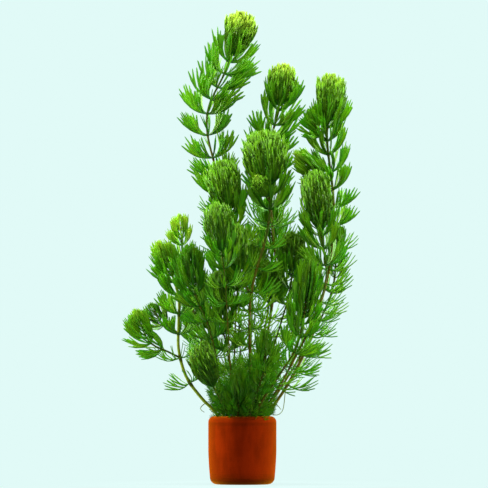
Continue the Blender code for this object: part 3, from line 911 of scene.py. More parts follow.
class LeafBuilder:
    """Builds one variant of a leaf form, arm by arm. Its sizes are shares of the leaf's length or height."""

    LOWER_CORNERS = -0.6
    TIP_SHARE = 0.1
    # The painted light at a prong's tip.
    TIP_LIGHT = 0.6
    END_VARIATION = 0.2
    FORK_VARIATION = 0.1
    FORK_OVERLAP = 0.02
    SEEDS_PER_AGE = 1000
    NEARLY_UPRIGHT = 0.999

    def __init__(self, form: LeafForm, variant: int) -> None:
        """Starts the mesh, with a layer for the share along the leaf and one for the painted light and shade
        of a corner.
        """
        self.form = form
        self.variant = variant
        self.rng = np.random.default_rng(self.SEEDS_PER_AGE * form.age.value + variant)
        self.bm = bmesh.new()
        self.layers = (self.bm.verts.layers.float.new("along"), self.bm.verts.layers.float.new("ridge"))

    def make(self) -> bpy.types.Mesh:
        """One leaf of unit length, from the origin along +X, with the stem's direction at +Z."""
        self.grow(Arm(Vector()))
        shading = Shading.SMOOTH if self.form.smooth else Shading.FLAT
        return finished_mesh(self.bm, self.form.name(self.variant), shading)

    def vert(self, place: Vector, along: float, light: float) -> bmesh.types.BMVert:
        """A corner of the leaf."""
        made = self.bm.verts.new(place)
        made[self.layers[0]], made[self.layers[1]] = along, light
        return made

    def grow(self, arm: Arm) -> None:
        """Grows one arm from a fork to the next, and then the arms that part from it."""
        form = self.form
        is_last = arm.level == len(form.forks)
        if is_last:
            end = 1.0 - self.rng.uniform(0.0, self.END_VARIATION)
        else:
            nearest, furthest = 1.0 - self.FORK_VARIATION, 1.0 + self.FORK_VARIATION
            end = form.forks[arm.level].at * self.rng.uniform(nearest, furthest)
        length, spans = end - arm.start, form.spans[arm.level]
        # The painted shade of this arm's lower corners.
        low = form.edge_light if arm.is_lowest else form.inner_light
        place = arm.place
        rings = []
        for step in range(spans + 1):
            share = arm.start + length * step / spans
            closed = 1.0 - form.closing * share
            heading = math.radians(form.heading(share) + arm.up * closed)
            turn = math.radians(arm.side * closed)
            outward = math.cos(heading)
            out = Vector((outward * math.cos(turn), outward * math.sin(turn), math.sin(heading)))
            if step:
                place = place + out * length / spans
            rings.append(self.ring(place, out, share, low))
        for lower, upper in zip(rings, rings[1:]):
            bridge(self.bm, lower, upper)
        self.bm.faces.new(rings[0])
        if is_last:
            point = self.vert(place + out * self.TIP_SHARE * length, 1.0, self.TIP_LIGHT)
            for first, second in zip(rings[-1], [*rings[-1][1:], rings[-1][0]]):
                self.bm.faces.new((first, second, point))
            return
        self.bm.faces.new(rings[-1])
        fork = form.forks[arm.level]
        root = place - out * self.FORK_OVERLAP
        for which in (-1, 1):
            drift = self.rng.uniform(-form.wander, form.wander, 2)
            up = arm.up + (fork.up if which > 0 else 0.0) + drift[0]
            side = arm.side + which * fork.side * self.rng.choice((-1.0, 1.0)) + drift[1]
            self.grow(Arm(root, up, side, end, arm.level + 1, arm.is_lowest and which < 0))

    def ring(self, place: Vector, out: Vector, share: float, low: float) -> list[bmesh.types.BMVert]:
        """A cross-section of an arm.

        Args:
            place: its middle.
            out: the arm's direction there.
            share: how far along the leaf it is.
            low: how much painted light its two lower corners get.

        Returns:
            Its corners, the upper one first.
        """
        is_upright = abs(out.z) >= self.NEARLY_UPRIGHT
        across = Vector((0.0, 1.0, 0.0)) if is_upright else Vector((-out.y, out.x, 0.0)).normalized()
        above = out.cross(across).normalized()
        height, slim = self.form.height(share), self.form.slimness
        # Each corner's place across and up, and its painted light: full on the upper one, painted shade on
        # the lower ones.
        corners = ((0.0, 1.0, 1.0), (slim, self.LOWER_CORNERS, low), (-slim, self.LOWER_CORNERS, low))
        return [
            self.vert(place + height * (across * sideways + above * high), share, light)
            for sideways, high, light in corners
        ]


LEAF_FORMS = (
    LeafForm(
        LeafAge.FOLDED,
        root_heading=40.0,
        tip_heading=100.0,
        forks=(Fork(0.3, 4.0, 6.0), Fork(0.6, 3.0, 5.0)),
        root_height=0.013,
        arm_height=0.021,
        tip_height=0.014,
        slimness=0.7,
        wander=2.0,
        smooth=True,
        inner_light=0.35,
    ),
    LeafForm(
        LeafAge.OPENING,
        root_heading=22.0,
        tip_heading=68.0,
        forks=(Fork(0.25, 15.0, 7.0), Fork(0.5, 13.0, 5.0)),
        root_height=0.02,
        arm_height=0.037,
        tip_height=0.014,
        slimness=0.4,
    ),
    LeafForm(
        LeafAge.OPEN,
        root_heading=4.0,
        tip_heading=52.0,
        forks=(Fork(0.24, 30.0, 6.0), Fork(0.5, 26.0, 5.0)),
        root_height=0.02,
        arm_height=0.038,
        tip_height=0.013,
        slimness=0.4,
    ),
    LeafForm(
        LeafAge.OLD,
        root_heading=-12.0,
        tip_heading=40.0,
        forks=(Fork(0.26, 30.0, 9.0), Fork(0.54, 24.0, 8.0)),
        root_height=0.014,
        arm_height=0.021,
        tip_height=0.013,
        closing=0.35,
        wander=7.0,
    ),
    LeafForm(
        LeafAge.SHADED,
        root_heading=26.0,
        tip_heading=66.0,
        forks=(Fork(0.3, 12.0, 10.0), Fork(0.58, 9.0, 8.0)),
        root_height=0.012,
        arm_height=0.017,
        tip_height=0.011,
        wander=6.0,
    ),
)
VARIANTS = 4


@dataclass(frozen=True)
class Station:
    """A point up a stem: its place and thickness, and the whorl of leaves that it bears, if any."""

    place: Vector
    axis: Vector
    thickness: float
    youth: float
    leaves: int = 0
    twist: float = 0.0
    reach: float = 0.0
    lift: float = 0.0
    age: LeafAge = LeafAge.OPEN
    heart: int = 0
    along: float = 0.0
    darkness: float = 0.0


STATION_FIELDS = {
    "heart": "INT",
    "along": "FLOAT",
    "darkness": "FLOAT",
    "thickness": "FLOAT",
    "youth": "FLOAT",
    "leaves": "INT",
    "twist": "FLOAT",
    "reach": "FLOAT",
    "lift": "FLOAT",
}


def spine_mesh(*lines: list[Station]) -> bpy.types.Mesh:
    """The stations as lines of points, with what each says held as attributes.

    Args:
        lines: each line's points from the lowest up, in millimetres.

    Returns:
        A mesh of edges, in metres.
    """
    mesh = bpy.data.meshes.new("spine")
    stations = [station for line in lines for station in line]
    starts = np.cumsum([0, *map(len, lines)])
    edges = [(index, index + 1) for index in range(len(stations) - 1) if index + 1 not in starts]
    mesh.from_pydata([station.place * MM for station in stations], edges, [])
    for name, kind in STATION_FIELDS.items():
        held = mesh.attributes.new(name, kind, "POINT")
        held.data.foreach_set("value", [getattr(station, name) for station in stations])
    axes = mesh.attributes.new("axis", "FLOAT_VECTOR", "POINT")
    axes.data.foreach_set("vector", [value for station in stations for value in station.axis])
    ages = mesh.attributes.new("shape", "INT", "POINT")
    ages.data.foreach_set("value", [station.age.value * VARIANTS for station in stations])
    return mesh


class NodeTool:
    """A Geometry Nodes group built here, and the way to run it on a mesh."""

    kept: tuple[str, ...] = ()

    def __init__(self, title: str, inputs: dict[str, str]) -> None:
        """Makes the group with its named inputs.

        Args:
            title: the group's name.
            inputs: each input's socket type by name, after the geometry.
        """
        self.tree = bpy.data.node_groups.new(title, "GeometryNodeTree")
        self.tree.interface.new_socket("Geometry", in_out="INPUT", socket_type="NodeSocketGeometry")
        self.identifiers = {
            name: self.tree.interface.new_socket(name, in_out="INPUT", socket_type=kind).identifier
            for name, kind in inputs.items()
        }
        self.tree.interface.new_socket("Geometry", in_out="OUTPUT", socket_type="NodeSocketGeometry")
        self.graph = Graph(self.tree)
        self.given = self.graph.add("NodeGroupInput")
        self.graph.add("NodeGroupOutput", {"Geometry": self.build()})

    def build(self) -> Value:
        """Builds the group and gives its geometry."""
        raise NotImplementedError

    def named(self, name: str, kind: str = "FLOAT") -> Value:
        """An attribute of the geometry."""
        return self.graph.add("GeometryNodeInputNamedAttribute", {"Name": name}, data_type=kind)

    def random(self, low: Value | float, high: Value | float, salt: int) -> Value:
        """A random number for each element, from the group's seed and a number of its own."""
        inputs = {2: low, 3: high, "Seed": self.given.output("Seed") + float(salt)}
        return self.graph.add("FunctionNodeRandomValue", inputs, data_type="FLOAT")

    def store(self, geometry: Value, name: str, value: Value | float, domain: str = "POINT") -> Value:
        """Keeps a number on the geometry."""
        inputs = {"Geometry": geometry, "Name": name, "Value": value}
        return self.graph.add("GeometryNodeStoreNamedAttribute", inputs, data_type="FLOAT", domain=domain)

    def dressed(self, geometry: Value, finish: str) -> Value:
        """The geometry in the finish that a named input gives."""
        inputs = {"Geometry": geometry, "Material": self.given.output(finish)}
        return self.graph.add("GeometryNodeSetMaterial", inputs)

    def joined(self, *parts: Value) -> Value:
        """Several geometries as one."""
        joined = self.graph.add("GeometryNodeJoinGeometry")
        for part in parts:
            self.tree.links.new(part.socket, joined.socket.node.inputs[0])
        return joined

    def stood(self, points: Value, shapes: str, pick: Value, rotation: Value, scale: Value) -> Value:
        """Stands shapes on points.

        Args:
            points: where they go.
            shapes: the named input that gives the collection of shapes.
            pick: the number of the shape for each point.
            rotation: how each is turned.
            scale: how large each is.

        Returns:
            The shapes as instances.
        """
        inputs = {"Collection": self.given.output(shapes), "Separate Children": True, "Reset Children": True}
        children = self.graph.add("GeometryNodeCollectionInfo", inputs)
        inputs = {
            "Points": points,
            "Instance": children,
            "Pick Instance": True,
            "Instance Index": pick,
            "Rotation": rotation,
            "Scale": scale,
        }
        return self.graph.add("GeometryNodeInstanceOnPoints", inputs)

    def turn(self, rotation: Value, axis: Point, angle: Value) -> Value:
        """A rotation turned further about one of its own axes."""
        by = self.graph.add("FunctionNodeAxisAngleToRotation", {"Axis": axis, "Angle": angle})
        inputs = {"Rotation": rotation, "Rotate By": by}
        return self.graph.add("FunctionNodeRotateRotation", inputs, rotation_space="LOCAL")

    def run(self, mesh: bpy.types.Mesh, settings: dict[str, Any]) -> bpy.types.Mesh:
        """Runs the group on a mesh.

        Args:
            mesh: what goes in; it is used up.
            settings: a value for each named input.

        Returns:
            The result as a plain mesh that holds only the attributes that the finishes read.
        """
        holder = bpy.data.objects.new("holder", mesh)
        bpy.context.scene.collection.objects.link(holder)
        modifier = holder.modifiers.new("nodes", "NODES")
        modifier.node_group = self.tree
        for name, value in settings.items():
            modifier[self.identifiers[name]] = value
        graph = bpy.context.evaluated_depsgraph_get()
        made = bpy.data.meshes.new_from_object(
            holder.evaluated_get(graph), preserve_all_data_layers=True, depsgraph=graph
        )
        bpy.data.objects.remove(holder)
        bpy.data.meshes.remove(mesh)
        for name in [held.name for held in made.attributes]:
            held = made.attributes[name]
            if not held.is_internal and not held.is_required and name not in self.kept:
                made.attributes.remove(held)
        return made


class LeafyTool(NodeTool):
    """Skins a line of stations as a stem, and stands a ring of leaves on each station that bears one."""

    kept = ("along", "ridge", "youth", "tint", "darkness", "node", "sharp_face", "material_index", "UVMap")
    HEART_RIBS = 38
    HEART_GROOVE = 0.82
    # The painted light in the furrows between the heart's ribs, which is painted shade.
    GROOVE_LIGHT = 0.3
    HEART_TINT = 0.5
    LUMP_GRAIN: Grain = (350.0, 1.0)
    LUMP_HEIGHT = 3.0

    def __init__(self) -> None:
        """Makes the group with its named inputs."""
        super().__init__(
            "leafy shoot",
            {
                "Leaf shapes": "NodeSocketCollection",
                "Shapes of an age": "NodeSocketInt",
                "Stem sides": "NodeSocketInt",
                "Turn wander": "NodeSocketFloat",
                "Lift wander": "NodeSocketFloat",
                "Roll wander": "NodeSocketFloat",
                "Length wander": "NodeSocketFloat",
                "Seed": "NodeSocketInt",
                "Stem finish": "NodeSocketMaterial",
                "Leaf finish": "NodeSocketMaterial",
            },
        )

    def build(self) -> Value:
        """Joins the skinned stem, the tuft's heart and the leaves."""
        graph = self.graph
        curve = graph.add("GeometryNodeMeshToCurve", {"Mesh": self.given.output("Geometry")})
        is_heart = graph.maths("GREATER_THAN", self.named("heart", "INT"), 0.5)
        hearts = graph.add("GeometryNodeSeparateGeometry", {"Geometry": curve, "Selection": is_heart})
        return self.joined(self.leaves(), self.heart(hearts), self.stem(hearts.output("Inverted")))

    def skin(self, curve: Value, profile: Value) -> Value:
        """A line of stations skinned with a profile, as thick as each station says."""
        scale = self.named("thickness")
        inputs = {"Curve": curve, "Profile Curve": profile, "Scale": scale, "Fill Caps": True}
        return self.graph.add("GeometryNodeCurveToMesh", inputs)

    def smooth(self, geometry: Value) -> Value:
        """The geometry with its faces shaded smooth."""
        return self.graph.add("GeometryNodeSetShadeSmooth", {"Geometry": geometry, "Shade Smooth": True})

    def heart(self, curve: Value) -> Value:
        """The tuft's heart: its innermost leaves, packed into a ribbed bud, with painted shade between its
        ribs.
        """
        graph = self.graph
        outline = {
            "Points": self.HEART_RIBS,
            "Inner Radius": self.HEART_GROOVE * MM,
            "Outer Radius": MM,
            "Twist": 0.0,
        }
        star = graph.add("GeometryNodeCurveStar", outline)
        # Painted shade in the furrows, full painted light on the ribs.
        light = self.GROOVE_LIGHT + (1.0 - self.GROOVE_LIGHT) * star.output("Outer Points")
        skin = self.skin(curve, self.store(star, "ridge", light))
        scale, detail = self.LUMP_GRAIN
        uneven = graph.add("ShaderNodeTexNoise", {"Scale": scale, "Detail": detail}) - 0.5
        inputs = {0: graph.add("GeometryNodeInputNormal"), "Scale": uneven * self.LUMP_HEIGHT * MM}
        offset = graph.add("ShaderNodeVectorMath", inputs, operation="SCALE")
        skin = graph.add("GeometryNodeSetPosition", {"Geometry": skin, "Offset": offset})
        skin = self.store(skin, "tint", self.HEART_TINT)
        return self.dressed(self.smooth(skin), "Leaf finish")

    def stem(self, curve: Value) -> Value:
        """The stem's skin."""
        inputs = {"Resolution": self.given.output("Stem sides"), "Radius": MM}
        skin = self.smooth(self.skin(curve, self.graph.add("GeometryNodeCurvePrimitiveCircle", inputs)))
        bears = self.graph.maths("GREATER_THAN", self.named("leaves", "INT"), 0.5)
        return self.dressed(self.store(skin, "node", bears), "Stem finish")

    def leaves(self) -> Value:
        """The rings of leaves."""
        graph, given = self.graph, self.given
        count = self.named("leaves", "INT")
        inputs = {"Geometry": given.output("Geometry"), "Amount": count}
        copies = graph.add("GeometryNodeDuplicateElements", inputs, domain="POINT")
        order = copies.output("Duplicate Index")
        spin = order / count * math.tau + self.named("twist")
        spin = spin + self.random(0.0, given.output("Turn wander"), 1)
        lift = self.named("lift") + self.random(-1.0, 1.0, 2) * given.output("Lift wander")
        roll = self.random(-1.0, 1.0, 3) * given.output("Roll wander")
        axis = {"Vector": self.named("axis", "FLOAT_VECTOR")}
        upright = graph.add("FunctionNodeAlignRotationToVector", axis, axis="Z")
        turned = self.turn(upright, (0.0, 0.0, 1.0), spin)
        raised = self.turn(turned, (0.0, 1.0, 0.0), 0.0 - lift)
        rolled = self.turn(raised, (1.0, 0.0, 0.0), roll)
        pick = graph.maths("FLOOR", self.random(0.0, given.output("Shapes of an age"), 4))
        length = self.named("reach") * (1.0 + self.random(-1.0, 1.0, 5) * given.output("Length wander"))
        shape = self.named("shape", "INT") + pick
        stood = self.stood(copies, "Leaf shapes", shape, rolled, length * MM)
        stood = self.store(stood, "tint", self.random(0.0, 1.0, 6), "INSTANCE")
        return self.dressed(graph.add("GeometryNodeRealizeInstances", {"Geometry": stood}), "Leaf finish")


class Foliage:
    """The leaf shapes and the node group that stands them on a stem."""

    TURN_WANDER = 12.0
    LIFT_WANDER = 8.0
    LENGTH_WANDER = 0.1

    def __init__(self, finishes: Finishes) -> None:
        """Makes every variant of every leaf form."""
        self.finishes = finishes
        self.shapes = bpy.data.collections.new("leaf shapes")
        for form in LEAF_FORMS:
            for variant in range(VARIANTS):
                leaf = LeafBuilder(form, variant).make()
                self.shapes.objects.link(bpy.data.objects.new(form.name(variant), leaf))
        self.tool = LeafyTool()

    def grow(self, lines: list[list[Station]], seed: int, stem_sides: int, roll: float) -> bpy.types.Mesh:
        """Grows a stem and its leaves on stations.

        Args:
            lines: the points of the stem, and of the tuft's heart, from the lowest up.
            seed: the seed for what varies from leaf to leaf.
            stem_sides: how many sides the stem's skin has.
            roll: by how many degrees at most a leaf leans to one side.

        Returns:
            The mesh.
        """
        settings = {
            "Leaf shapes": self.shapes,
            "Shapes of an age": VARIANTS,
            "Stem sides": stem_sides,
            "Turn wander": math.radians(self.TURN_WANDER),
            "Lift wander": math.radians(self.LIFT_WANDER),
            "Roll wander": math.radians(roll),
            "Length wander": self.LENGTH_WANDER,
            "Seed": seed,
            "Stem finish": self.finishes.stem,
            "Leaf finish": self.finishes.leaf,
        }
        return self.tool.run(spine_mesh(*lines), settings)

    def clear(self) -> None:
        """Removes the leaf shapes, which the pieces no longer need."""
        remove_collection(self.shapes)


@dataclass(frozen=True)
class Thicket:
    """The shaded foliage over the pot, wider the higher it is. Its sizes are millimetres."""

    foot: float = 44.5
    top: float = 82.0
    half_width: float = 16.0
    flare: float = 0.2
    leaf_length: float = 15.0
    margin: float = 7.0

    def depth(self, place: Vector) -> float:
        """How far inside the thicket's side a point lies, less than 0 outside it."""
        return self.half_width + self.flare * (place.z - self.foot) - abs(place.x)

    def holds(self, place: Vector) -> bool:
        """Whether a point lies in the thicket."""
        return place.z < self.top and self.depth(place) > 0.0

    def reach(self, place: Vector) -> float:
        """How long a leaf there is: none ends further outside the thicket than its margin."""
        return min(self.leaf_length, self.margin + self.depth(place))


@dataclass
class LeafyShoot:
    """A shoot's stem with its whorls, and the tuft of young leaves that ends it.

    Lengths are millimetres, gaps are those between whorls, and a share is of the shoot's own size. The crown
    is the tuft's rings of leaves, its skirt is how high the lowest of them end, and the heart is the bud
    inside.
    """

    shoot: Shoot
    number: int
    thicket: Thicket = Thicket()
    top_share: float = 0.75
    thinnest: float = 0.2
    node_swelling: float = 1.25
    green_over: float = 90.0
    step: float = 3.0
    clearance: float = 0.8
    bare_branch: float = 6.0
    first_gap: float = 4.0
    young_gap: float = 8.5
    old_gap: float = 12.0
    gap_growth: float = 1.25
    bushy_gap: float = 4.2
    young_reach: float = 1.18
    young_lift: float = 4.0
    old_lime: float = 0.08
    young_lime: float = 0.22
    leaves_per_whorl: int = 12
    leaves_per_old_whorl: int = 7
    whorl_twist: float = 22.0
    twist_wander: float = 10.0
    crown_gap: float = 1.3
    crown_leaves: int = 16
    loose_leaves: float = 0.85
    loose_gap: float = 2.8
    crown_share: float = 0.66
    crown_leaf: float = 18.0
    highest_skirt: float = 0.8
    crown_shoulder: float = 0.55
    crown_flatness: float = 6.0
    crown_fullness: float = 0.6
    crown_drawn_in: float = 0.92
    crown_twist: float = 137.5
    crown_foot_lime: float = 0.2
    fewest_rings: int = 3
    heart_width: float = 0.9
    heart_height: float = 0.92
    heart_lime: float = 0.8
    stem_sides: int = 8
    tuft_sides: int = 6
    whorl_roll: float = 20.0
    tuft_roll: float = 5.0
    heart_profile: Profile = (
        (0.0, 0.12), (0.08, 0.34), (0.2, 0.56), (0.36, 0.7), (0.52, 0.77), (0.66, 0.78), (0.78, 0.73),
        (0.87, 0.6), (0.93, 0.4), (0.97, 0.12),
    )

    SEEDS_PER_SHOOT = 10
    TUFT_SEED = 5

    def __post_init__(self) -> None:
        """Works out the course and where the tuft begins."""
        self.course = Course(self.shoot.route)
        self.end = self.course.length - self.shoot.tuft_length
        self.rng = np.random.default_rng(self.number)

    def thickness(self, distance: float) -> float:
        """The stem's radius there: it thins towards its tuft, and further up to the tuft's top."""
        share = min(max(distance / self.end, 0.0), 1.0)
        above = max(distance - self.end, 0.0) / self.shoot.tuft_length
        return self.shoot.stem_radius * (1 - (1 - self.top_share) * share) * max(1.0 - above, self.thinnest)

    def whorl_distances(self) -> list[float]:
        """How far up the stem each whorl sits, from the top down."""
        lowest = self.bare_branch if self.shoot.parent else self.course.distance_at(self.shoot.bare_below)
        distances = [self.course.distance_at(height) for height in self.shoot.whorl_heights]
        gap = self.old_gap if distances else self.young_gap
        distance = distances[-1] - gap if distances else self.end - self.first_gap
        while distance > lowest:
            distances.append(distance)
            if self.shoot.bushy:
                distance -= self.bushy_gap
            else:
                distance -= gap
                gap = min(gap * self.gap_growth, self.old_gap)
        if not self.shoot.parent:
            distance = min(distance, self.course.distance_at(self.thicket.top))
            while self.course.at(distance).z > self.thicket.foot:
                if self.thicket.holds(self.course.at(distance)):
                    distances.append(distance)
                distance -= self.bushy_gap
        return distances

    def station(self, distance: float, **whorl: Any) -> Station:
        """The stem there, with a whorl if one is given."""
        swelling = self.node_swelling if whorl and distance < self.end else 1.0
        youth = max(min(1.0 - (self.end - distance) / self.green_over, 1.0), self.shoot.stem_green)
        settings = {"youth": youth, "darkness": self.shoot.darkness, **whorl}
        thickness = self.thickness(distance) * swelling
        return Station(self.course.at(distance), self.course.direction(distance), thickness, **settings)

    def whorl(self, distance: float, order: int) -> Station:
        """A whorl below the tuft: the lower, the older and the wider open."""
        below = self.end - distance
        age = min(below / self.shoot.broad_for, 1.0)
        place = self.course.at(distance)
        is_shaded = self.thicket.holds(place)
        if self.shoot.bushy:
            leaf_age = LeafAge.SHADED
        elif below < self.shoot.drawn_up_for and not is_shaded:
            leaf_age = LeafAge.OPENING
        elif age < 1.0:
            leaf_age = LeafAge.OPEN
        else:
            leaf_age = LeafAge.OLD
        reach = self.shoot.leaf_length * (self.young_reach + (1.0 - self.young_reach) * age)
        if is_shaded:
            reach = self.thicket.reach(place)
        leaves = self.leaves_per_old_whorl if leaf_age is LeafAge.OLD else self.leaves_per_whorl
        leaves += int(self.rng.integers(-1, 2))
        drift = self.rng.uniform(-self.twist_wander, self.twist_wander)
        return self.station(
            distance,
            leaves=leaves,
            twist=math.radians(self.whorl_twist * order + drift),
            reach=reach,
            lift=math.radians(self.young_lift * (1.0 - age)),
            age=leaf_age,
            youth=self.shoot.lime * (self.old_lime + self.young_lime * (1.0 - age)),
        )

    def stem_stations(self) -> list[Station]:
        """The stem from its foot to the tuft."""
        whorls = {d: self.whorl(d, order) for order, d in enumerate(self.whorl_distances())}
        plain = [d for d in np.arange(0.0, self.end, self.step).tolist() if self.is_apart(d, whorls)]
        every = sorted([*plain, *whorls, self.end])
        return [whorls.get(d) or self.station(d) for d in every]

    def is_apart(self, distance: float, whorls: Iterable[float]) -> bool:
        """Whether a plain point stays clear of every whorl's own."""
        return all(abs(distance - whorl) > self.clearance for whorl in whorls)

    def tuft_age(self) -> LeafAge:
        """The age of the tuft's leaves: a loose tuft with no lime in it is an old one."""
        if not self.shoot.loose:
            return LeafAge.FOLDED
        return LeafAge.OPENING if self.shoot.lime else LeafAge.OLD

    def tuft_stations(self) -> list[Station]:
        """The tuft's close whorls: the lowest leaves end on its side, and the highest at its top."""
        shoot = self.shoot
        length, tall = shoot.tuft_length, shoot.tuft_length * self.crown_share
        count = max(round(tall / (self.loose_gap if shoot.loose else self.crown_gap)), self.fewest_rings)
        leaves = round(self.loose_leaves * shoot.tuft_radius) if shoot.loose else self.crown_leaves
        form = LEAF_FORMS[self.tuft_age().value]
        chord_out, chord_up = form.chord()
        skirt = min(self.crown_leaf / length, self.highest_skirt)
        widest = self.crown_drawn_in * shoot.tuft_radius
        stations = []
        for order in range(count + 1):
            share = order / count
            top = skirt + (1.0 - skirt) * math.sin(math.radians(90.0 * share))
            beyond = max(top - self.crown_shoulder, 0.0) / (1.0 - self.crown_shoulder)
            out = widest * (1.0 - beyond**self.crown_flatness) ** self.crown_fullness
            rise = top * length - share * tall
            stations.append(
                self.station(
                    self.end + share * tall,
                    leaves=leaves,
                    twist=math.radians(self.crown_twist * order),
                    reach=math.hypot(out, rise) / math.hypot(chord_out, chord_up),
                    lift=math.atan2(rise, out) - math.atan2(chord_up, chord_out),
                    age=form.age,
                    youth=shoot.lime * (self.crown_foot_lime + (1.0 - self.crown_foot_lime) * share),
                )
            )
        return stations

    def heart_stations(self) -> list[Station]:
        """The heart of the tuft, from its foot to under its top leaves."""
        shoot = self.shoot
        tall = shoot.tuft_length * self.heart_height
        return [
            Station(
                self.course.at(self.end + share * tall),
                self.course.direction(self.end + share * tall),
                wide * shoot.tuft_radius * self.heart_width,
                shoot.lime * self.heart_lime * share * share,
                heart=1,
                along=share,
                darkness=shoot.darkness,
            )
            for share, wide in self.heart_profile
        ]

    def make(self, foliage: Foliage) -> list[bpy.types.Object]:
        """Makes the shoot's two pieces.

        Args:
            foliage: grows the leaves.

        Returns:
            The leafy stem and the tuft.
        """
        name = self.shoot.name
        seed = self.SEEDS_PER_SHOOT * self.number
        stem = foliage.grow([self.stem_stations()], seed, self.stem_sides, self.whorl_roll)
        leafy = add_piece(f"{name}_leafy", stem, Slot.GROWN, name)
        lines = [self.tuft_stations()] if self.shoot.loose else [self.tuft_stations(), self.heart_stations()]
        tuft = foliage.grow(lines, seed + self.TUFT_SEED, self.tuft_sides, self.tuft_roll)
        return [leafy, add_piece(f"{name}_brush", tuft, Slot.YOUNG, f"{name}_tuft")]


@dataclass
class LooseStrands:
    """Bare bits of leaf that hang loose round the rim: a curled one, a straight one, a fork and a hook."""

    routes: tuple[tuple[Point, ...], ...] = (
        ((30, 0, 66), (28.4, -2, 61), (27.6, -4, 54), (26.6, -6, 49), (24, -8, 46.2), (20, -9, 45.8)),
        ((19, -13, 56), (23.5, -14, 52), (25.5, -14, 49.5)),
        ((12, -14, 49), (17, -15, 52), (21, -15, 57.5)),
        ((17, -15, 52), (20, -15, 52.5), (23.4, -15, 55.5)),
        ((-24, 0, 54), (-27.6, -2, 50.6), (-26.4, -3, 48.2), (-25, -3, 47.6)),
    )
    radius: float = 0.34
    thinning: float = 0.4
    step: float = 1.5
    greenness: float = 1.6
    sides: int = 6
    seed: int = 1

    def line(self, route: tuple[Point, ...]) -> list[Station]:
        """One strand's stations, thinning towards its end."""
        course = Course(route)
        distances = [*np.arange(0.0, course.length - self.step, self.step).tolist(), course.length]
        return [
            Station(
                course.at(distance),
                course.direction(distance),
                self.radius * (1.0 - self.thinning * distance / course.length),
                self.greenness,
            )
            for distance in distances
        ]

    def make(self, foliage: Foliage) -> bpy.types.Object:
        """Makes the strands as one piece."""
        mesh = foliage.grow([self.line(route) for route in self.routes], self.seed, self.sides, 0.0)
        return add_piece("loose_strands", mesh, Slot.GROWN)


@dataclass
class ClayPot:
    """The clay pot, turned from a profile of straight runs and arcs."""

    radius: float = 22.5
    height: float = 45.0
    foot_radius: float = 16.8
    foot_round: float = 4.6
    taper_height: float = 22.0
    taper_bulge: float = 0.15
    taper_steps: int = 6
    side_step: float = 4.0
    side_steps: int = 5
    shoulder_round: float = 4.0
    round_steps: int = 10
    wall: float = 4.8
    lip_round: float = 0.8
    lip_steps: int = 5
    inner_ring: float = 8.0
    floor: float = 5.0
    segments: int = 120

    MERGE_DISTANCE = 1e-6

    @staticmethod
    def arc(centre_r: float, centre_z: float, radius: float, start: float, steps: int) -> Profile:
        """Points of a quarter circle in the turning plane, from an angle in degrees on."""
        angles = [math.radians(start + 90.0 * step / steps) for step in range(steps + 1)]
        return tuple((centre_r + radius * math.cos(a), centre_z + radius * math.sin(a)) for a in angles)

    def profile(self) -> Profile:
        """The half section, from the middle of the foot round the outside and down to the floor inside."""
        inner = self.radius - self.wall
        foot_side = self.foot_radius + self.foot_round
        taper = []
        for step in range(1, self.taper_steps):
            share = step / self.taper_steps
            bulge = 4 * share * (1 - share) * self.taper_bulge
            wide = foot_side + (self.radius - foot_side) * share + bulge
            taper.append((wide, self.foot_round + (self.taper_height - self.foot_round) * share))
        side = [(self.radius, self.taper_height + self.side_step * step) for step in range(self.side_steps)]
        shoulder_r, shoulder_z = self.radius - self.shoulder_round, self.height - self.shoulder_round
        lip_r, lip_z = inner + self.lip_round, self.height - self.lip_round
        return (
            (0, 0),
            *self.arc(self.foot_radius, self.foot_round, self.foot_round, -90, self.round_steps),
            *taper,
            *side,
            *self.arc(shoulder_r, shoulder_z, self.shoulder_round, 0, self.round_steps),
            *self.arc(lip_r, lip_z, self.lip_round, 90, self.lip_steps),
            (inner, self.height - self.inner_ring),
            (inner, self.floor),
            (0, self.floor),
        )

    def make(self, finishes: Finishes) -> bpy.types.Object:
        """Turns the profile and dresses it."""
        bm = bmesh.new()
        line = [bm.verts.new((r * MM, 0, z * MM)) for r, z in self.profile()]
        edges = [bm.edges.new(pair) for pair in zip(line, line[1:])]
        bmesh.ops.spin(
            bm, geom=line + edges, cent=(0, 0, 0), axis=(0, 0, 1), angle=math.tau, steps=self.segments
        )
        bmesh.ops.remove_doubles(bm, verts=bm.verts, dist=self.MERGE_DISTANCE)
        mesh = finished_mesh(bm, "pot", Shading.CREASED)
        mesh.materials.append(finishes.clay)
        return add_piece("clay_pot", mesh, Slot.CLAY, "pot")


class FibreTool(NodeTool):
    """Lays short bent fibres over a surface."""

    kept = ("sharp_face", "material_index")
    TILT = (-0.6, 0.3)
    SIZE = (0.6, 1.3)

    def __init__(self) -> None:
        """Makes the group with its named inputs."""
        super().__init__(
            "wool fibres",
            {
                "Fibre shapes": "NodeSocketCollection",
                "Number of shapes": "NodeSocketInt",
                "Fibres a square metre": "NodeSocketFloat",
                "Seed": "NodeSocketInt",
                "Finish": "NodeSocketMaterial",
            },
        )

    def build(self) -> Value:
        """Joins the surface and its fibres."""
        graph, surface = self.graph, self.given.output("Geometry")
        density, seed = self.given.output("Fibres a square metre"), self.given.output("Seed")
        inputs = {"Mesh": surface, "Density": density, "Seed": seed}
        points = graph.add("GeometryNodeDistributePointsOnFaces", inputs)
        turned = self.turn(points.output("Rotation"), (0.0, 0.0, 1.0), self.random(0.0, math.tau, 1))
        tipped = self.turn(turned, (0.0, 1.0, 0.0), self.random(*self.TILT, 2))
        pick = graph.maths("FLOOR", self.random(0.0, self.given.output("Number of shapes"), 3))
        laid = self.stood(points, "Fibre shapes", pick, tipped, self.random(*self.SIZE, 4))
        real = graph.add("GeometryNodeRealizeInstances", {"Geometry": laid})
        return self.dressed(self.joined(real, surface), "Finish")


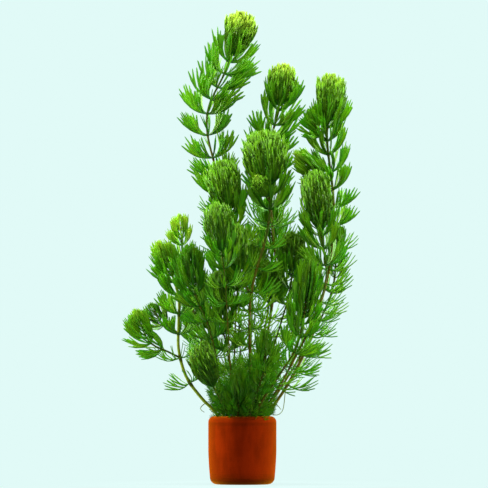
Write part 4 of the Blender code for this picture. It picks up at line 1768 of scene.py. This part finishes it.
@dataclass
class PlantingWool:
    """The plug of planting wool in the pot: a lumpy mat with fibres standing out of it."""

    radius: float = 17.5
    foot: float = 5.3
    top: float = 42.3
    rings: int = 14
    segments: int = 64
    lump: float = 0.7
    lump_drop: float = 0.5
    waves: int = 12
    wave_rates: Span = (0.25, 1.2)
    wave_total: float = 6.0
    sink: float = 1.4
    sink_power: int = 6
    mat_seed: int = 7
    fibre_length: float = 4.0
    fibre_radius: float = 0.07
    fibre_steps: int = 4
    fibre_sides: int = 3
    fibre_bend: float = 0.5
    fibre_sway: float = 2.0
    fibre_lift: float = 0.25
    fibre_shapes: int = 4
    first_fibre_seed: int = 50
    fibres_per_square_metre: float = 300000.0
    laying_seed: int = 3

    def surface(self) -> bpy.types.Mesh:
        """The mat: a closed drum whose top is lumpy."""
        rng = np.random.default_rng(self.mat_seed)
        waves = [
            (rng.uniform(*self.wave_rates), rng.uniform(0, math.tau), rng.uniform(0, math.tau))
            for _ in range(self.waves)
        ]
        bm = bmesh.new()
        centre = bm.verts.new((0, 0, self.top * MM))
        before: list[Any] = []
        for ring in range(1, self.rings + 1):
            wide = self.radius * ring / self.rings
            edge = self.top - self.sink * (ring / self.rings) ** self.sink_power
            row = []
            for corner in range(self.segments):
                angle = math.tau * corner / self.segments
                x, y = wide * math.cos(angle), wide * math.sin(angle)
                lift = 0.0
                for rate, way, phase in waves:
                    lift += math.sin(rate * (x * math.cos(way) + y * math.sin(way)) + phase)
                z = edge + self.lump * (lift / self.wave_total - self.lump_drop)
                row.append(bm.verts.new((x * MM, y * MM, z * MM)))
            if before:
                bridge(bm, before, row)
            else:
                for first, second in zip(row, [*row[1:], row[0]]):
                    bm.faces.new((centre, second, first))
            before = row
        foot = [bm.verts.new((vert.co.x, vert.co.y, self.foot * MM)) for vert in before]
        bridge(bm, before, foot)
        bm.faces.new(foot)
        return finished_mesh(bm, "wool", Shading.CREASED)

    def fibre(self, variant: int) -> bpy.types.Mesh:
        """A bent fibre."""
        rng = np.random.default_rng(self.first_fibre_seed + variant)
        bend = rng.uniform(-self.fibre_bend, self.fibre_bend, 2)
        bm = bmesh.new()
        before: list[Any] = []
        for step in range(self.fibre_steps + 1):
            share = step / self.fibre_steps
            arch = math.sin(math.pi * share)
            sideways, upward = bend[0] * arch * self.fibre_sway, self.fibre_lift + bend[1] * arch
            place = Vector((self.fibre_length * (share - 0.5), sideways, upward))
            ring = []
            for corner in range(self.fibre_sides):
                angle = math.tau * corner / self.fibre_sides
                round_about = Vector((0, math.cos(angle), math.sin(angle))) * self.fibre_radius
                ring.append(bm.verts.new((place + round_about) * MM))
            if before:
                bridge(bm, before, ring)
            if step in (0, self.fibre_steps):
                bm.faces.new(ring)
            before = ring
        return finished_mesh(bm, "fibre", Shading.FLAT)

    def make(self, finishes: Finishes) -> bpy.types.Object:
        """Lays the fibres on the mat and dresses both."""
        shapes = bpy.data.collections.new("fibre shapes")
        for variant in range(self.fibre_shapes):
            shapes.objects.link(bpy.data.objects.new(f"fibre_{variant}", self.fibre(variant)))
        settings = {
            "Fibre shapes": shapes,
            "Number of shapes": self.fibre_shapes,
            "Fibres a square metre": self.fibres_per_square_metre,
            "Seed": self.laying_seed,
            "Finish": finishes.wool,
        }
        mesh = FibreTool().run(self.surface(), settings)
        remove_collection(shapes)
        return add_piece("wool_plug", mesh, Slot.WOOL, "planting_wool")


@dataclass(frozen=True)
class Softbox:
    """A large soft white light, with its power in watts."""

    name: str
    place: Point
    size: tuple[float, float]
    power: float


@dataclass
class Studio:
    """The floor, the backdrop's tone, the soft lights and the camera."""

    tone: Colour = (0.753, 0.956, 0.93)
    ambient: float = 0.75
    view_distance: float = 6.0
    view_width: float = 0.3221
    aim: Point = (0.0011, 0.0, 0.1586)
    sensor: float = 36.0
    floor_reach: float = 8.0
    floor_sides: int = 64
    floor_matte: Colour = (0.31, 0.39, 0.38)
    shadow_span: Span = (0.12, 0.04)
    shadow_share: float = 0.1
    lit_point: Point = (0.0, 0.0, 0.14)
    softboxes: tuple[Softbox, ...] = (
        Softbox("left softbox", (-1.3, 0.22, 0.3), (0.7, 1.2), 78.0),
        Softbox("right softbox", (1.3, 0.22, 0.3), (0.7, 1.2), 58.0),
        Softbox("top softbox", (0.0, -0.15, 1.4), (0.8, 0.8), 38.0),
        Softbox("front fill", (0.3, -1.9, 0.7), (0.8, 0.8), 7.0),
        Softbox("back fill", (-0.3, 1.9, 0.7), (0.8, 0.8), 7.0),
    )

    def make_world(self) -> None:
        """A plain backdrop for the camera, and a dimmer, whiter one that lights the plant."""
        world = bpy.data.worlds.new("backdrop")
        bpy.context.scene.world = world
        graph = Graph.emptied(world)
        seen = graph.add("ShaderNodeBackground", {"Color": graph.colour(self.tone), "Strength": 1.0})
        white = graph.colour((1.0, 1.0, 1.0))
        lit = graph.add("ShaderNodeBackground", {"Color": white, "Strength": self.ambient})
        from_camera = graph.add("ShaderNodeLightPath").output("Is Camera Ray")
        both = graph.add("ShaderNodeMixShader", {0: from_camera, 1: lit, 2: seen})
        graph.add("ShaderNodeOutputWorld", {"Surface": both})

    def make_floor(self) -> None:
        """A pale floor of the backdrop's tone that takes a faint shadow round the pot."""
        bm = bmesh.new()
        bmesh.ops.create_circle(bm, cap_ends=True, segments=self.floor_sides, radius=self.floor_reach)
        mesh = bpy.data.meshes.new("floor")
        bm.to_mesh(mesh)
        bm.free()
        material = bpy.data.materials.new("pale floor")
        graph = Graph.emptied(material)
        length = graph.add("ShaderNodeVectorMath", {0: graph.place()}, operation="LENGTH")
        share = graph.step(length.output("Value"), self.shadow_span) * self.shadow_share
        glow = graph.add("ShaderNodeEmission", {"Color": graph.colour(self.tone), "Strength": 1.0})
        matte = graph.add("ShaderNodeBsdfDiffuse", {"Color": graph.colour(self.floor_matte)})
        both = graph.add("ShaderNodeMixShader", {0: share, 1: glow, 2: matte})
        graph.add("ShaderNodeOutputMaterial", {"Surface": both})
        mesh.materials.append(material)
        add_object("floor", mesh)

    def make_lights(self) -> None:
        """Adds the soft lights: strong ones on the sides, one above, and weak ones in front and behind."""
        for box in self.softboxes:
            data = bpy.data.lights.new(box.name, "AREA")
            data.shape = "RECTANGLE"
            data.size, data.size_y = box.size
            data.energy = box.power
            light = add_object(box.name, data)
            light.location = box.place
            towards = Vector(self.lit_point) - Vector(box.place)
            light.rotation_euler = towards.to_track_quat("-Z", "Y").to_euler()
            light.visible_camera = False

    def make_camera(self) -> None:
        """A level camera with a long lens, square on to the plant."""
        data = bpy.data.cameras.new("camera")
        data.sensor_width = self.sensor
        data.lens = self.sensor * self.view_distance / self.view_width
        camera = add_object("camera", data)
        camera.location = Vector(self.aim) - AWAY * self.view_distance
        camera.rotation_euler = (math.pi / 2, 0.0, 0.0)
        bpy.context.scene.camera = camera

    def make(self) -> None:
        """Sets the whole studio up, with colours shown as they are."""
        bpy.context.scene.view_settings.view_transform = "Standard"
        self.make_world()
        self.make_floor()
        self.make_lights()
        self.make_camera()


def main() -> None:
    """Builds the studio, the pot, the wool and every shoot."""
    logging.basicConfig(level=logging.INFO, format="%(name)s %(message)s")
    Studio().make()
    finishes = Finishes()
    pieces = [ClayPot().make(finishes), PlantingWool().make(finishes)]
    foliage = Foliage(finishes)
    for number, shoot in enumerate(SHOOTS):
        pieces.extend(LeafyShoot(shoot, number).make(foliage))
    pieces.append(LooseStrands().make(foliage))
    foliage.clear()
    faces = sum(len(piece.data.polygons) for piece in pieces)
    LOG.info("%d pieces, %d faces", len(pieces), faces)


if __name__ == "__main__":
    main()
